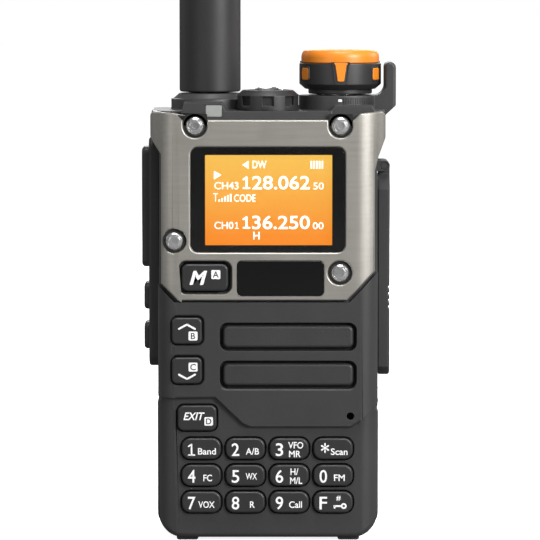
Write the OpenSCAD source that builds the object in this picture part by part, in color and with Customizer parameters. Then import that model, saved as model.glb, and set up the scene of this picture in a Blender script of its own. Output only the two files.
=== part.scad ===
// Compact handheld two-way radio, standing on its feet.
// +Z runs up to the antenna, the front faces -Y, and the origin is the middle of the footprint
// on the floor, from the front keys to the belt clip.

/* [Body] */
// Width of the lower half of the casing
body_w = 53; // [53:0.5:66]
// How far the shoulders of the upper half stand out at each side
shoulder_out = 1.65; // [1.4:0.05:3]
// Height from the floor to the top deck
body_h = 102.9; // [102.9:0.1:125]
// Depth from the face plate to the front of the battery
case_d = 24.5; // [24.5:0.1:35]
// Thickness of the moulded walls
wall = 1.8; // [1.5:0.1:2]
// Radius of the two bottom corners
corner_r = 6.2; // [3:0.1:8]
// Height of the feet under the casing
foot_h = 0.7; // [0.4:0.1:1.5]

/* [Face plate] */
// Height of the metal face plate
plate_h = 45; // [44:0.5:48]
// Thickness of the metal face plate
plate_t = 1.65; // [1.4:0.05:2]
// Radius of the plate's curved sides
plate_r = 7; // [5:0.5:9]
// Diameter of a plate screw's head
screw_head_d = 4.5; // [3.5:0.1:5]

/* [Display] */
// Width of the display window
window_w = 36.9; // [28:0.1:38]
// Height of the display window
window_h = 25.2; // [18:0.1:26]

/* [Keys] */
// Width of a keypad key
key_w = 9.4; // [7:0.1:9.5]
// Height of a keypad key
key_h = 5.1; // [4:0.1:5.4]
// Distance between key columns
key_pitch_x = 10.5; // [10.3:0.1:11]
// Distance between key rows
key_pitch_z = 6.43; // [6.3:0.01:7]
// Gap around every key and button
key_gap = 0.35; // [0.25:0.05:0.45]
// Travel of a key
key_travel = 0.6; // [0.3:0.1:0.6]
// Travel of the push-to-talk button
ptt_travel = 1; // [0.5:0.1:1]

/* [Speaker] */
// Width of a speaker slot
slot_w = 32.7; // [24:0.1:34]
// Height of a speaker slot
slot_h = 6.8; // [5:0.1:7]
// Diameter of the loudspeaker
speaker_d = 30; // [26:1:31]

/* [Knob] */
// Diameter of the volume knob
knob_d = 19.8; // [16:0.1:20]
// Height of the volume knob, orange cap included
knob_h = 9.5; // [8:0.1:12]
// Diameter of the knob's shaft
shaft_d = 6; // [5:0.5:7]

/* [Antenna] */
// Length of the antenna whip
whip_l = 157; // [90:1:200]
// Diameter of the whip at its foot
whip_d = 14.8; // [12:0.1:15]
// Diameter of the whip near its tip
whip_tip_d = 9; // [7:0.1:11]

/* [Torch] */
// Diameter of the torch's bezel
torch_d = 15; // [12:0.1:15]

/* [Headset sockets] */
// Bore of the larger headset socket
jack_large_d = 3.6; // [3.5:0.05:3.7]
// Bore of the smaller headset socket
jack_small_d = 2.6; // [2.5:0.05:2.7]
// Distance between the two headset sockets
jack_pitch = 11.25; // [11:0.05:12]

/* [Battery] */
// Thickness of the battery pack
battery_t = 10; // [9:0.1:14]
// Height of the battery pack
battery_h = 78; // [60:1:80]

/* [Belt clip] */
// Width of the belt clip
clip_w = 18; // [14:1:22]
// Free gap between the clip and the battery
clip_gap = 5; // [4.6:0.1:7]
// Length of the belt clip
clip_l = 60; // [45:1:64]

/* [Hidden] */
$fn = 64;

// Clearances
fit = 0.05;
slack = 0.1;
joint_gap = 0.3;
seam = 0.5;

// Depths, from the front of the plate to the back of the battery
menu_proud = 0.6;
clip_t = 1.8;
y_plate = -(case_d + battery_t + clip_gap + clip_t - menu_proud) / 2;
y_raise = y_plate + 0.35;
y_keypad = y_plate + 1.35;
y_seat = y_plate + plate_t;
y_battery = y_plate + case_d;
y_back = y_battery + battery_t;
y_case = y_battery - 0.4;
y_wrap = y_plate + 8.3;
y_board = y_plate + 6.6;
board_t = 1.6;

// Heights
z_case = foot_h;
z_keypad = 34.5;
z_plate = body_h - plate_h;
z_deck = body_h;
z_wall_top = body_h - 2.5;
z_ear_top = body_h - 0.7;
z_flare = body_h - 7.9;

// Half widths
x_low = body_w / 2;
x_mid = x_low - 0.15;
x_shoulder = x_low + shoulder_out;
x_plate = x_mid - 0.85;
x_inner = x_mid - wall;
casing_r = 4.5;

// Slanted corners of the plate's lower edge, and of the raised zone under it
chamfer_l = 3.6;
chamfer_r = 6.9;

// Screw places on the plate, as [x, distance under the deck]
ear_screw_x = [-17.3, 17.3];
ear_screw_drop = 3.4;
screw_places = [[ear_screw_x[0], ear_screw_drop], [ear_screw_x[1], ear_screw_drop], [-22.3, 30.8],
  [17.2, 38.4]];
pocket_r = 2.9;
pocket_depth = 0.9;
screw_d = 2;
screw_l = 5;

// Window, menu key and badge on the plate
window_r = 1.9;
z_window = body_h - 8.4 - window_h;
menu_w = 11.1;
menu_h = 6.4;
menu_x = -15;
menu_z = z_plate + 5.5;
badge_w = 20.7;
badge_h = 8.4;
badge_x = 3;
badge_z = z_plate + 5.3;
badge_t = 0.9;

// Up, down and exit keys
arrow_w = 7.2;
arrow_h = 6.3;
arrow_x = -19.3;
exit_w = 9.3;
exit_h = 6.1;
exit_x = -16.9;
exit_z = 29.65;

// Speaker slots, and the arrow keys beside them
slot_pitch = 9.1;
slot_r = 1.9;
slot_x = 4.85;
z_slot_mid = (z_keypad + z_plate) / 2 - 1.6;
arrow_pitch = 9.5;
z_arrow_mid = z_slot_mid + 1.3;
speaker_x = 5;
mic_x = 19.7;
mic_z = 30.1;

// Keypad
key_r = 2.1;
z_row_low = 9.4;
flange = 0.6;
key_front = 1.1;
key_flange_t = 0.8;
KEYPAD = [["key_1", "key_2", "key_3", "key_star"], ["key_4", "key_5", "key_6", "key_0"],
  ["key_7", "key_8", "key_9", "key_func"]];

// Left side buttons
rail_y0 = y_plate + 9.85;
rail_y1 = rail_y0 + 11.8;
rail_t = 2.3;
rail_z0 = 41.1;
rail_z1 = body_h - 6.6;
ptt_z0 = body_h - 37.8;
ptt_z1 = body_h - 8.9;
ptt_out = 4;
side_out = 3.5;
side_key_h = 6.4;
side_upper_z = 58;
side_lower_z = 48.4;
cap_y0 = rail_y0 + 1.4;
cap_y1 = rail_y1 - 1.4;
rib_flange = 0.5;
plunger_r = 1.6;
switch_board_x = -(x_inner - 3.6);

// Right side cover and the sockets behind it
cover_z0 = 38.9;
cover_z1 = body_h - 12.1;
cover_y0 = y_plate + 10.75;
cover_y1 = cover_y0 + 11;
cover_t = 2.7;
cover_y = (cover_y0 + cover_y1) / 2;
cover_x = x_mid + joint_gap + cover_t / 2;
cover_pivot_z = cover_z1 - cover_t / 2;
cover_pin_r = 0.9;
hinge_half = 2.9;
lug_w = 1.5;
jack_y = cover_y;
jack_z = cover_z0 + 24;
jack_depth = 14;
usb_z = cover_z0 + 12;

// Top deck
y_deck_back = y_battery + 7;
tongue_w = 15.2;
horn_y0 = y_plate + 10.75;
horn_y1 = horn_y0 + 12;
collar_r0 = 9.4;
antenna_x = -14;
antenna_y = y_plate + 18.75;
knob_x = 17.45;
knob_y = y_plate + 16.75;
torch_y = y_plate + 10.75;
torch_bore_r = 5;
torch_h = 3.6;
z_step = z_deck + 2;
z_collar = z_deck + 3.9;
z_whip = z_deck + 4.2;
z_disc = z_deck + 3.5;
z_knob = z_deck + 4.9;
cap_h = 3.2;
horn_x0 = x_shoulder - 0.1;
horn_x1 = x_shoulder + 2.6;
horn_h = 11.5;
light_x = -12.9;

// Antenna connector
thread_r = 3.175;
plug_r = 4.6;
socket_h = 5.6;

// Volume control
bushing_r = 4.4;
control_size = 10;

// Battery and latch
battery_w = body_w - 1;
z_battery = 1;
z_battery_top = z_battery + battery_h;
case_t = 3;
shell = 1.4;
pivot_y = y_battery + 0.4;
pivot_z = z_battery + 0.8;
pivot_r = 0.7;
claw_x = 14;
claw_w = 6;
latch_w = 14;
latch_drop = 8;
contact_x = 4;
contact_z = 59.2;
chassis_screw_x = [-19, 19];
chassis_screw_z = [12, 70];
chassis_screw_r = 1.2;
tab_t = 1.5;

// Belt clip
clip_pivot_z = z_battery + 62;
clip_pivot_y = y_back + 2.8;
clip_y = y_back + clip_gap;
clip_pin_r = 1;
clip_ear_w = 2.4;
clip_top = 10;

// ---------------------------------------------------------------- helpers

// Middles of the keypad's columns and rows
function key_column(i) = (i - 1.5) * key_pitch_x - 0.15;
function key_row(j) = z_row_low + j * key_pitch_z;

// A flat outline in X and Z, as thick as y0 to y1
module panel(y0, y1) {
  translate([0, y1, 0]) rotate([90, 0, 0]) linear_extrude(y1 - y0) children();
}

// A flat outline in Y and Z, as thick as x0 to x1
module side_panel(x0, x1) {
  translate([x0, 0, 0]) rotate([90, 0, 90]) linear_extrude(x1 - x0) children();
}

// A flat outline in X and Y, as tall as z0 to z1
module slab(z0, z1) {
  translate([0, 0, z0]) linear_extrude(z1 - z0) children();
}

// A box by its low and high corners
module block(low, high) {
  translate(low) cube(high - low);
}

// A flat rectangle by its low and high corners
module flat(low, high) {
  translate(low) square(high - low);
}

// A flat rectangle about a middle point, with true round corners
module rounded(middle, w, h, r) {
  translate(middle) {
    square([w - 2 * r, h], center = true);
    square([w, h - 2 * r], center = true);
    for (sx = [-1, 1], sz = [-1, 1]) translate([sx * (w / 2 - r), sz * (h / 2 - r)]) circle(r);
  }
}

// A cylinder along Y from y0 to y1
module rod_y(x, z, r, y0, y1) {
  translate([x, y1, z]) rotate([90, 0, 0]) cylinder(r = r, h = y1 - y0);
}

// A cylinder along X from x0 to x1
module rod_x(y, z, r, x0, x1) {
  translate([x0, y, z]) rotate([0, 90, 0]) cylinder(r = r, h = x1 - x0);
}

// A cylinder along Z from z0 to z1
module rod_z(x, y, r, z0, z1) {
  translate([x, y, z0]) cylinder(r = r, h = z1 - z0);
}

// Outline of the casing seen from above: round front corners, square back
module casing_section(half_w, front, r, back = y_case) {
  flat([-half_w, front + r], [half_w, back]);
  flat([-half_w + r, front], [half_w - r, front + 2 * r]);
  for (s = [-1, 1]) translate([s * (half_w - r), front + r]) circle(r);
}

// Section of what lies under the wrapped sides of the plate
module under_plate() {
  casing_section(x_shoulder - plate_t - fit, y_seat, plate_r - plate_t);
}

// ---------------------------------------------------------------- outlines

// Front outline of the keypad half, with its waist notches
module lower_outline() {
  difference() {
    union() {
      rounded([0, (z_case + z_keypad) / 2], body_w, z_keypad - z_case, corner_r);
      flat([-x_low, z_keypad - corner_r - 2], [x_low, z_keypad - 0.9]);
      flat([-x_mid, z_keypad - 4], [x_mid, z_keypad + 2]);
    }
    polygon([[-x_low - 1, z_keypad + 2], [-x_low - 1, z_keypad - 2.3], [-x_mid + 1, z_keypad - 0.2]]);
    polygon([[x_low + 1, z_keypad - 0.3], [x_low + 1, z_keypad - 4.6], [x_mid - 1, z_keypad - 2.5]]);
  }
}

// Half of the upper outline: straight flank, then the flared shoulder
module flank(side) {
  inset = 0.2;
  scale([side, 1]) polygon([[0, z_keypad - 2.5], [x_mid - inset, z_keypad - 2.5],
    [x_mid - inset, z_flare], [x_shoulder - inset, z_flare + 1.9],
    [x_shoulder - inset, z_wall_top - 2], [x_shoulder - inset - 1.2, z_wall_top], [0, z_wall_top]]);
}

module upper_outline() {
  flank(-1);
  flank(1);
}

// The raised zone around the speaker, under the plate's slanted lower corners
module speaker_zone() {
  z_top = z_plate - seam;
  z_foot = z_keypad - 6.9;
  polygon([[-x_mid, z_keypad], [-12.7, z_keypad], [-6, z_foot + 0.5], [-5, z_foot], [20.3, z_foot],
    [x_mid, z_keypad - 2.3], [x_mid, z_top + chamfer_r], [x_mid - 0.3, z_top + chamfer_r],
    [x_mid - chamfer_r, z_top], [-x_mid + chamfer_l + 0.4, z_top],
    [-x_mid, z_top + chamfer_l + 0.4]]);
}

// Outline of the metal plate
module plate_outline() {
  shoulder_z = body_h - 6.3;
  dip = body_h - 2;
  polygon([[-x_plate + chamfer_l + 0.4, z_plate], [x_plate - chamfer_r + 0.3, z_plate],
    [x_plate, z_plate + chamfer_r], [x_plate, body_h - 14.1], [x_plate + 0.9, body_h - 10.7],
    [x_shoulder, shoulder_z], [x_shoulder, body_h - 1], [x_shoulder - 0.9, body_h],
    [22, body_h - 0.5], [20.4, body_h - 2], [14.2, dip], [-14.2, dip], [-20.4, body_h - 2],
    [-22, body_h - 0.5], [-x_shoulder + 0.7, body_h], [-x_shoulder, body_h - 0.8],
    [-x_shoulder, shoulder_z], [-x_plate, body_h - 10.2], [-x_plate, z_plate + chamfer_l + 0.4]]);
}

// ---------------------------------------------------------------- casing

// Screw towers behind the plate's four corners
module plate_bosses() {
  for (p = screw_places) intersection() {
    rod_y(p[0], body_h - p[1], 2.3, y_seat, y_seat + 4.8);
    block([-x_shoulder + 1, y_seat, 0], [x_shoulder - 1, y_seat + 5, z_ear_top]);
  }
}

// Everything that the casing's front wall lets through
module front_openings() {
  clear = 2 * key_gap;
  panel(y_plate - 1, y_keypad + 3) {
    for (i = [0:3], j = [0:2])
      rounded([key_column(i), key_row(j)],
        key_w + clear, key_h + clear, key_r + key_gap);
    rounded([exit_x, exit_z], exit_w + clear, exit_h + clear, 1.8);
    rounded([menu_x, menu_z], menu_w + clear, menu_h + clear, 1.8);
    for (s = [-1, 1]) {
      rounded([arrow_x, z_arrow_mid + s * arrow_pitch / 2], arrow_w + clear, arrow_h + clear, 1.6);
      rounded([slot_x, z_slot_mid + s * slot_pitch / 2], slot_w, slot_h, slot_r);
    }
    rounded([0, z_window + window_h / 2], window_w - 3, window_h - 3, 1);
    translate([mic_x, mic_z]) circle(0.9);
  }
}

module front_casing() {
  x_ear = x_shoulder - 1.4;
  color("#3d3d3d") difference() {
    union() {
      intersection() {
        panel(y_keypad, y_case) lower_outline();
        slab(0, z_keypad + 2) casing_section(x_low, y_keypad, casing_r);
      }
      intersection() {
        panel(y_raise, y_case) speaker_zone();
        slab(0, z_plate + 9) casing_section(x_mid, y_raise, casing_r);
      }
      intersection() {
        panel(y_seat, y_wrap) upper_outline();
        slab(z_keypad - 3, z_deck) under_plate();
      }
      panel(y_wrap, y_case) upper_outline();
      for (s = [-1, 1]) intersection() {
        panel(y_seat, y_seat + wall) flat([s < 0 ? -x_ear : tongue_w + slack, z_wall_top - 3],
          [s < 0 ? -tongue_w - slack : x_ear, z_ear_top]);
        slab(z_wall_top - 3, z_deck) under_plate();
      }
      for (s = [-1, 1]) panel(y_keypad + 1.5, y_keypad + 7.5)
        rounded([s * 19.3, foot_h], 5.2, 2 * foot_h, 0.6);
    }
    // hollow behind the keypad, behind the speaker zone and behind the plate
    block([-x_inner, y_keypad + wall, z_case + wall], [x_inner, y_case + 1, z_keypad]);
    block([-x_inner, y_raise + wall, z_keypad - 1], [x_inner, y_case + 1, z_plate]);
    block([-x_inner, y_seat + wall, z_plate - 1], [x_inner, y_case + 1, z_deck]);
    front_openings();
    for (p = screw_places) rod_y(p[0], body_h - p[1], screw_d / 2, y_seat - 1, y_seat + 2);
    side_openings();
  }
  color("#3d3d3d") cover_lugs();
  color("#3d3d3d") chassis_tabs();
  color("#3d3d3d") speaker_ledges();
  color("#3d3d3d") difference() {
    plate_bosses();
    for (p = screw_places) rod_y(p[0], body_h - p[1], screw_d / 2, y_seat - 1, y_seat + 4.5);
    block([-x_shoulder, y_seat - 1, 0], [x_shoulder, y_seat + wall, z_deck]);
  }
}

// Ledges that the loudspeaker's rim rests on, above and under the slots
module speaker_ledges() {
  edge = speaker_d / 2;
  for (s = [-1, 1]) panel(y_raise + wall - 0.1, y_seat + wall)
    flat([speaker_x - edge / 2, z_slot_mid + (s < 0 ? -edge : edge - 3.4)],
      [speaker_x + edge / 2, z_slot_mid + (s < 0 ? -edge + 3.4 : edge)]);
}

// Tabs on the side walls that take the chassis screws
module chassis_tabs() {
  y1 = y_case - 2 - fit;
  for (x = chassis_screw_x, z = chassis_screw_z) difference() {
    block([x < 0 ? -x_inner - 0.5 : x - 2.4, y1 - tab_t, z - 2.4],
      [x < 0 ? x + 2.4 : x_inner + 0.5, y1, z + 2.4]);
    rod_y(x, z, chassis_screw_r + fit, y1 - tab_t - 1, y1 + 1);
  }
}

// Plunger holes on the left and the socket opening on the right
module side_openings() {
  for (z = [(ptt_z0 + ptt_z1) / 2, side_upper_z, side_lower_z])
    rod_x((cap_y0 + cap_y1) / 2, z, plunger_r + joint_gap, -x_low - 3, -x_inner + 1);
  block([x_inner - 1, jack_y - 4.2, jack_z - 5.2],
    [x_low + 2, jack_y + 4.2, jack_z + jack_pitch + 5.2]);
  side_panel(x_inner - 1, x_low + 2) rounded([jack_y, usb_z], 4.4, 10, 2.1);
}

module face_plate() {
  color("#77736b") difference() {
    intersection() {
      panel(y_plate, y_wrap - fit) plate_outline();
      difference() {
        slab(z_plate - 1, z_deck + 1) casing_section(x_shoulder, y_plate, plate_r);
        slab(z_plate - 2, z_deck + 2) casing_section(x_shoulder - plate_t, y_seat, plate_r - plate_t);
      }
    }
    panel(y_plate - 1, y_seat + 1) {
      rounded([0, z_window + window_h / 2], window_w, window_h, window_r);
      rounded([menu_x, menu_z], menu_w + 1.6, menu_h + 1.4, 1.9);
    }
    panel(y_plate - 1, y_plate + 0.7) rounded([badge_x, badge_z], badge_w + 0.1, badge_h + 0.1, 1.25);
    for (p = screw_places) {
      rod_y(p[0], body_h - p[1], pocket_r, y_plate - 1, y_plate + pocket_depth);
      rod_y(p[0], body_h - p[1], screw_d / 2 + slack, y_plate - 1, y_seat + 1);
    }
    for (x = ear_screw_x) block([x - pocket_r, y_plate - 1, body_h - ear_screw_drop],
      [x + pocket_r, y_plate + pocket_depth, z_deck + 1]);
  }
}

module plate_screws() {
  for (p = screw_places) color("silver") {
    seat = y_plate + pocket_depth;
    rod_y(p[0], body_h - p[1], screw_d / 2 - fit, seat, seat + screw_l);
    difference() {
      translate([p[0], seat, body_h - p[1]]) rotate([90, 0, 0]) rotate_extrude() intersection() {
        translate([0, -2.1]) circle(screw_head_d / 2 + 0.95);
        flat([0, 0], [screw_head_d / 2, 2]);
      }
      rod_y(p[0], body_h - p[1], 0.75, seat - 2, seat - 0.35);
    }
  }
}

module badge_plate() {
  color("black") panel(y_plate + 0.7 - badge_t, y_plate + 0.7)
    rounded([badge_x, badge_z], badge_w, badge_h, 1.2);
}

// ---------------------------------------------------------------- display

module display_window() {
  color("#101010") panel(y_plate + 0.35, y_seat)
    rounded([0, z_window + window_h / 2], window_w - 0.1, window_h - 0.1, window_r - 0.05);
}

module display_panel() {
  color("orange") panel(y_seat + wall, y_seat + wall + 1.2)
    flat([-window_w / 2 + 2, z_window + 0.6], [window_w / 2 - 2, z_window + window_h - 0.6]);
}

module display_backlight() {
  color("white") panel(y_seat + wall + 1.2, y_board - 0.1)
    flat([-window_w / 2 + 1.4, z_window], [window_w / 2 - 1.4, z_window + window_h]);
}

// ---------------------------------------------------------------- sound

module speaker_grille() {
  color("#303030") {
    for (s = [-1, 1]) panel(y_raise + 0.35, y_raise + wall)
      rounded([slot_x, z_slot_mid + s * slot_pitch / 2], slot_w - 1.5, slot_h - 1.4, 1.3);
    panel(y_raise + wall, y_raise + wall + 0.5)
      flat([slot_x - slot_w / 2 - 0.8, z_slot_mid - slot_pitch / 2 - slot_h / 2 - 0.5],
        [slot_x + slot_w / 2 + 0.8, z_slot_mid + slot_pitch / 2 + slot_h / 2 + 0.5]);
  }
}

module speaker() {
  front = y_seat + wall + slack;
  rim = 1.4;
  color("#555555") {
    rod_y(speaker_x, z_slot_mid, speaker_d / 2, front, front + rim);
    rod_y(speaker_x, z_slot_mid, speaker_d / 2 - 2, front + rim, y_board - slack);
    rod_y(speaker_x, z_slot_mid, speaker_d / 4, y_board - slack, front + 6);
  }
}

module microphone() {
  color("silver") rod_y(mic_x, mic_z, 2, y_keypad + wall, y_keypad + wall + 1.6);
}

// ---------------------------------------------------------------- boards

module main_board() {
  color("darkgreen") difference() {
    panel(y_board, y_board + board_t) flat([-x_inner + 1, z_case + wall + 3], [x_inner - 1, body_h - 5.5]);
    rod_y(speaker_x, z_slot_mid, speaker_d / 4 + 1, y_board - 1, y_board + board_t + 1);
  }
  color("silver") panel(y_board + board_t, y_board + board_t + 2.4)
    flat([-12, z_window - 4], [8, z_window + window_h - 6]);
}

// Rubber mat with a nib behind every key; the keys meet the nibs at the end of their travel
module keypad_membrane() {
  nib_end = 0.1 + key_travel;
  color("#8a8a8a") {
    panel(y_board - 0.8, y_board) flat([-x_inner + 1.6, z_case + wall + 3.4],
      [x_inner - 2, key_row(2) + 3]);
    panel(y_board - 0.8, y_board) flat([-x_inner + 1.6, z_row_low], [exit_x + 5, exit_z + 3]);
    panel(y_board - 0.8, y_board) flat([-x_inner + 1.6, exit_z], [arrow_x + 4.4, z_plate - 1]);
    panel(y_board - 0.8, y_board) flat([-x_inner + 1.6, z_plate - 2], [menu_x + 6, menu_z + 3.6]);
    for (i = [0:3], j = [0:2]) rod_y(key_column(i), key_row(j), 1.6,
      key_back(y_keypad) + nib_end, y_board - 0.8);
    rod_y(exit_x, exit_z, 1.6, key_back(y_keypad) + nib_end, y_board - 0.8);
    for (s = [-1, 1]) rod_y(arrow_x, z_arrow_mid + s * arrow_pitch / 2, 1.6,
      key_back(y_raise) + nib_end, y_board - 0.8);
    rod_y(menu_x, menu_z, 1.6, key_back(y_seat) + nib_end, y_board - 0.8);
  }
}

// ---------------------------------------------------------------- keys

// Back of a key's flange, behind a front wall whose outer face is at y = front
function key_back(front) = front + wall + 0.1 + key_flange_t;

// One key cap with a flange that keeps it behind the wall
module key_cap(x, z, w, h, r, top, front) {
  color("#3a3a3a") {
    panel(top, key_back(front) - key_flange_t / 2) rounded([x, z], w, h, r);
    panel(key_back(front) - key_flange_t, key_back(front))
      rounded([x, z], w + 2 * (flange - 0.05), h + 2 * (flange - 0.05), r);
  }
}

module keypad_key(name) {
  for (j = [0:2], i = [0:3]) if (KEYPAD[2 - j][i] == name)
    key_cap(key_column(i), key_row(j), key_w, key_h, key_r, y_keypad - key_front, y_keypad);
}

module key_exit() {
  key_cap(exit_x, exit_z, exit_w, exit_h, 1.45, y_keypad - key_front, y_keypad);
}

module arrow_key(s) {
  key_cap(arrow_x, z_arrow_mid + s * arrow_pitch / 2, arrow_w, arrow_h, 1.2,
    y_raise - 0.8, y_raise);
}

module key_menu() {
  key_cap(menu_x, menu_z, menu_w, menu_h, 1.45, y_plate - menu_proud, y_seat);
}

// ---------------------------------------------------------------- left side

// Side button: cap outside, flange inside the rail, plunger through the wall
module side_button(z0, z1, out) {
  color("#333333") {
    side_panel(-x_mid - out, -x_mid - 1.1)
      rounded([(cap_y0 + cap_y1) / 2, (z0 + z1) / 2], cap_y1 - cap_y0, z1 - z0, 1.5);
    side_panel(-x_mid - 1.6, -x_mid - 1.1)
      rounded([(cap_y0 + cap_y1) / 2, (z0 + z1) / 2], cap_y1 - cap_y0 + 2 * rib_flange,
        z1 - z0 + 2 * rib_flange, 1.5);
    rod_x((cap_y0 + cap_y1) / 2, (z0 + z1) / 2, plunger_r, -x_mid - 1.2, switch_board_x - 1.2 - ptt_travel);
  }
}

module side_rail() {
  color("#2c2c2c") difference() {
    side_panel(-x_mid - rail_t, -x_mid)
      rounded([(rail_y0 + rail_y1) / 2, (rail_z0 + rail_z1) / 2], rail_y1 - rail_y0, rail_z1 - rail_z0, 3);
    // room for the flared shoulder
    panel(rail_y0 - 1, rail_y1 + 1) polygon([[-x_mid + 1, z_flare - 0.3], [-x_mid, z_flare - 0.3],
      [-x_shoulder, z_flare + 1.6], [-x_shoulder, body_h], [-x_mid + 1, body_h]]);
    for (b = [[ptt_z0, ptt_z1], [side_upper_z - side_key_h / 2, side_upper_z + side_key_h / 2],
        [side_lower_z - side_key_h / 2, side_lower_z + side_key_h / 2]]) {
      middle = [(cap_y0 + cap_y1) / 2, (b[0] + b[1]) / 2];
      side_panel(-x_mid - rail_t - 1, -x_mid + 1)
        rounded(middle, cap_y1 - cap_y0 + 2 * joint_gap, b[1] - b[0] + 2 * joint_gap, 1.8);
      side_panel(-x_mid - 1.8, -x_mid + 1)
        rounded(middle, cap_y1 - cap_y0 + 2 * (rib_flange + joint_gap),
          b[1] - b[0] + 2 * (rib_flange + joint_gap), 1.8);
    }
  }
}

module side_switches() {
  color("darkgreen") block([switch_board_x, cap_y0, rail_z0 + 1], [switch_board_x + 0.8, cap_y1, ptt_z1]);
  color("silver") for (z = [(ptt_z0 + ptt_z1) / 2, side_upper_z, side_lower_z])
    block([switch_board_x - 1, cap_y0 + 2, z - 2.2], [switch_board_x, cap_y1 - 2, z + 2.2]);
}

// ---------------------------------------------------------------- right side

// Cover over the sockets: narrow round top between two lugs, a pin through all three
module jack_cover() {
  half = (cover_y1 - cover_y0) / 2;
  color("#333333") difference() {
    intersection() {
      side_panel(x_mid + joint_gap, x_mid + joint_gap + cover_t) polygon([[cover_y - half, cover_z0 + 2],
        [cover_y - half + 2, cover_z0], [cover_y + half - 2, cover_z0], [cover_y + half, cover_z0 + 2],
        [cover_y + half, cover_z1 - 7], [cover_y + hinge_half, cover_z1 - 3.4],
        [cover_y + hinge_half, cover_z1], [cover_y - hinge_half, cover_z1],
        [cover_y - hinge_half, cover_z1 - 3.4], [cover_y - half, cover_z1 - 7]]);
      panel(cover_y0, cover_y1) {
        translate([cover_x, cover_pivot_z]) circle(cover_t / 2);
        flat([cover_x - cover_t / 2, cover_z0], [cover_x + cover_t / 2, cover_pivot_z]);
      }
    }
    for (i = [0:3]) block([x_mid + joint_gap + cover_t - 0.5, cover_y0 - 1, cover_z0 + 16 + i * 1.6],
      [x_mid + joint_gap + cover_t + 1, cover_y1 + 1, cover_z0 + 16.8 + i * 1.6]);
  }
  pin_half = hinge_half + joint_gap + lug_w - 0.2;
  color("#333333") rod_y(cover_x, cover_pivot_z, cover_pin_r, cover_y - pin_half, cover_y + pin_half);
}

// Lugs on the casing's side that hold the cover's pin
module cover_lugs() {
  for (s = [-1, 1]) {
    edge = cover_y + s * (hinge_half + joint_gap + lug_w / 2);
    difference() {
      panel(edge - lug_w / 2, edge + lug_w / 2) {
        translate([cover_x, cover_pivot_z]) circle(cover_t / 2);
        flat([x_mid - 0.5, cover_pivot_z - cover_t / 2], [cover_x, cover_pivot_z + cover_t / 2]);
      }
      rod_y(cover_x, cover_pivot_z, cover_pin_r + fit, edge - lug_w, edge + lug_w);
    }
  }
}

module jack_block() {
  color("#222222") difference() {
    block([x_mid - jack_depth - 2, jack_y - 4, jack_z - 5],
      [x_mid - 0.2, jack_y + 4, jack_z + jack_pitch + 5]);
    rod_x(jack_y, jack_z, jack_large_d / 2, x_mid - jack_depth, x_mid + 1);
    rod_x(jack_y, jack_z + jack_pitch, jack_small_d / 2, x_mid - jack_depth + 2, x_mid + 1);
  }
}

module usb_socket() {
  color("silver") difference() {
    side_panel(x_mid - 7.5, x_mid - 0.3) rounded([jack_y, usb_z], 3.2, 8.9, 1.5);
    side_panel(x_mid - 6.5, x_mid) rounded([jack_y, usb_z], 2.5, 8.2, 1.2);
  }
  color("black") block([x_mid - 7, jack_y - 0.35, usb_z - 3.2], [x_mid - 1.5, jack_y + 0.35, usb_z + 3.2]);
}

// ---------------------------------------------------------------- top

module top_housing() {
  light_z = z_deck + 0.1;
  color("#303030") difference() {
    union() {
      // deck, with a tongue that reaches forward between the screw ears
      slab(z_wall_top, z_deck) {
        casing_section(x_shoulder - plate_t - 0.2, y_seat + wall + slack, 4, y_battery + 3);
        rounded([0, (y_wrap + y_deck_back) / 2], 2 * (x_shoulder - 0.3), y_deck_back - y_wrap, 3);
        flat([-x_shoulder + 0.3, y_wrap], [x_shoulder - 0.3, y_wrap + 4]);
        flat([-tongue_w, y_seat + slack], [tongue_w, y_seat + 8]);
      }
      // lip inside the casing
      slab(z_wall_top - 2, z_wall_top) flat([-x_inner + fit, y_seat + 8], [x_inner - fit, y_case - 2.2]);
      // raised step round the antenna, and the status light's seat in its front
      panel(y_seat + slack, y_battery + 3) polygon([[-20.8, z_wall_top + 1.2], [-20, z_step], [-10.9, z_step],
        [-9.5, z_wall_top + 1.2]]);
      rod_z(antenna_x, antenna_y, collar_r0, z_deck - 1, z_step + 0.6);
      translate([antenna_x, antenna_y, z_step + 0.6])
        cylinder(r1 = collar_r0 - 0.5, r2 = 7.4, h = z_collar - z_step - 0.6);
      // knob platform and guard horn
      panel(y_seat + wall + slack, y_battery + 5) polygon([[14.3, z_deck - 1], [16, z_deck + 1.3],
        [x_shoulder - 3.3, z_deck + 1.3], [x_shoulder - 2.2, z_deck - 1]]);
      rod_z(knob_x, knob_y, 10, z_deck - 1, z_disc);
      panel(horn_y0, horn_y1) horn_outline();
    }
    // torch seat, shaft bushing, antenna socket
    rod_z(0, torch_y, torch_bore_r + 0.6, z_wall_top - 3, z_deck + 1);
    rod_z(0, torch_y, torch_d / 2 + fit, z_deck, z_whip + 2);
    rod_z(knob_x, knob_y, bushing_r + fit, z_wall_top - 3, z_disc + 1);
    rod_z(antenna_x, antenna_y, thread_r + fit, z_wall_top - 3, z_collar + 1);
    rod_z(antenna_x, antenna_y, plug_r + joint_gap, z_collar - 2.4, z_collar + 1);
    rod_z(antenna_x, antenna_y, thread_r + 3, z_wall_top - 3, z_wall_top);
    block([light_x - 2, y_seat - 1, light_z - 1.5], [light_x + 2, y_seat + 1.6, light_z + 1.4]);
    for (p = screw_places) rod_y(p[0], body_h - p[1], 2.5, y_seat, y_seat + 5);
    for (s = [-1, 1]) block([s < 0 ? -x_shoulder : tongue_w, y_seat - 1, z_wall_top - 3],
      [s < 0 ? -tongue_w : x_shoulder, y_seat + wall + slack, z_ear_top + slack]);
  }
}

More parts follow.
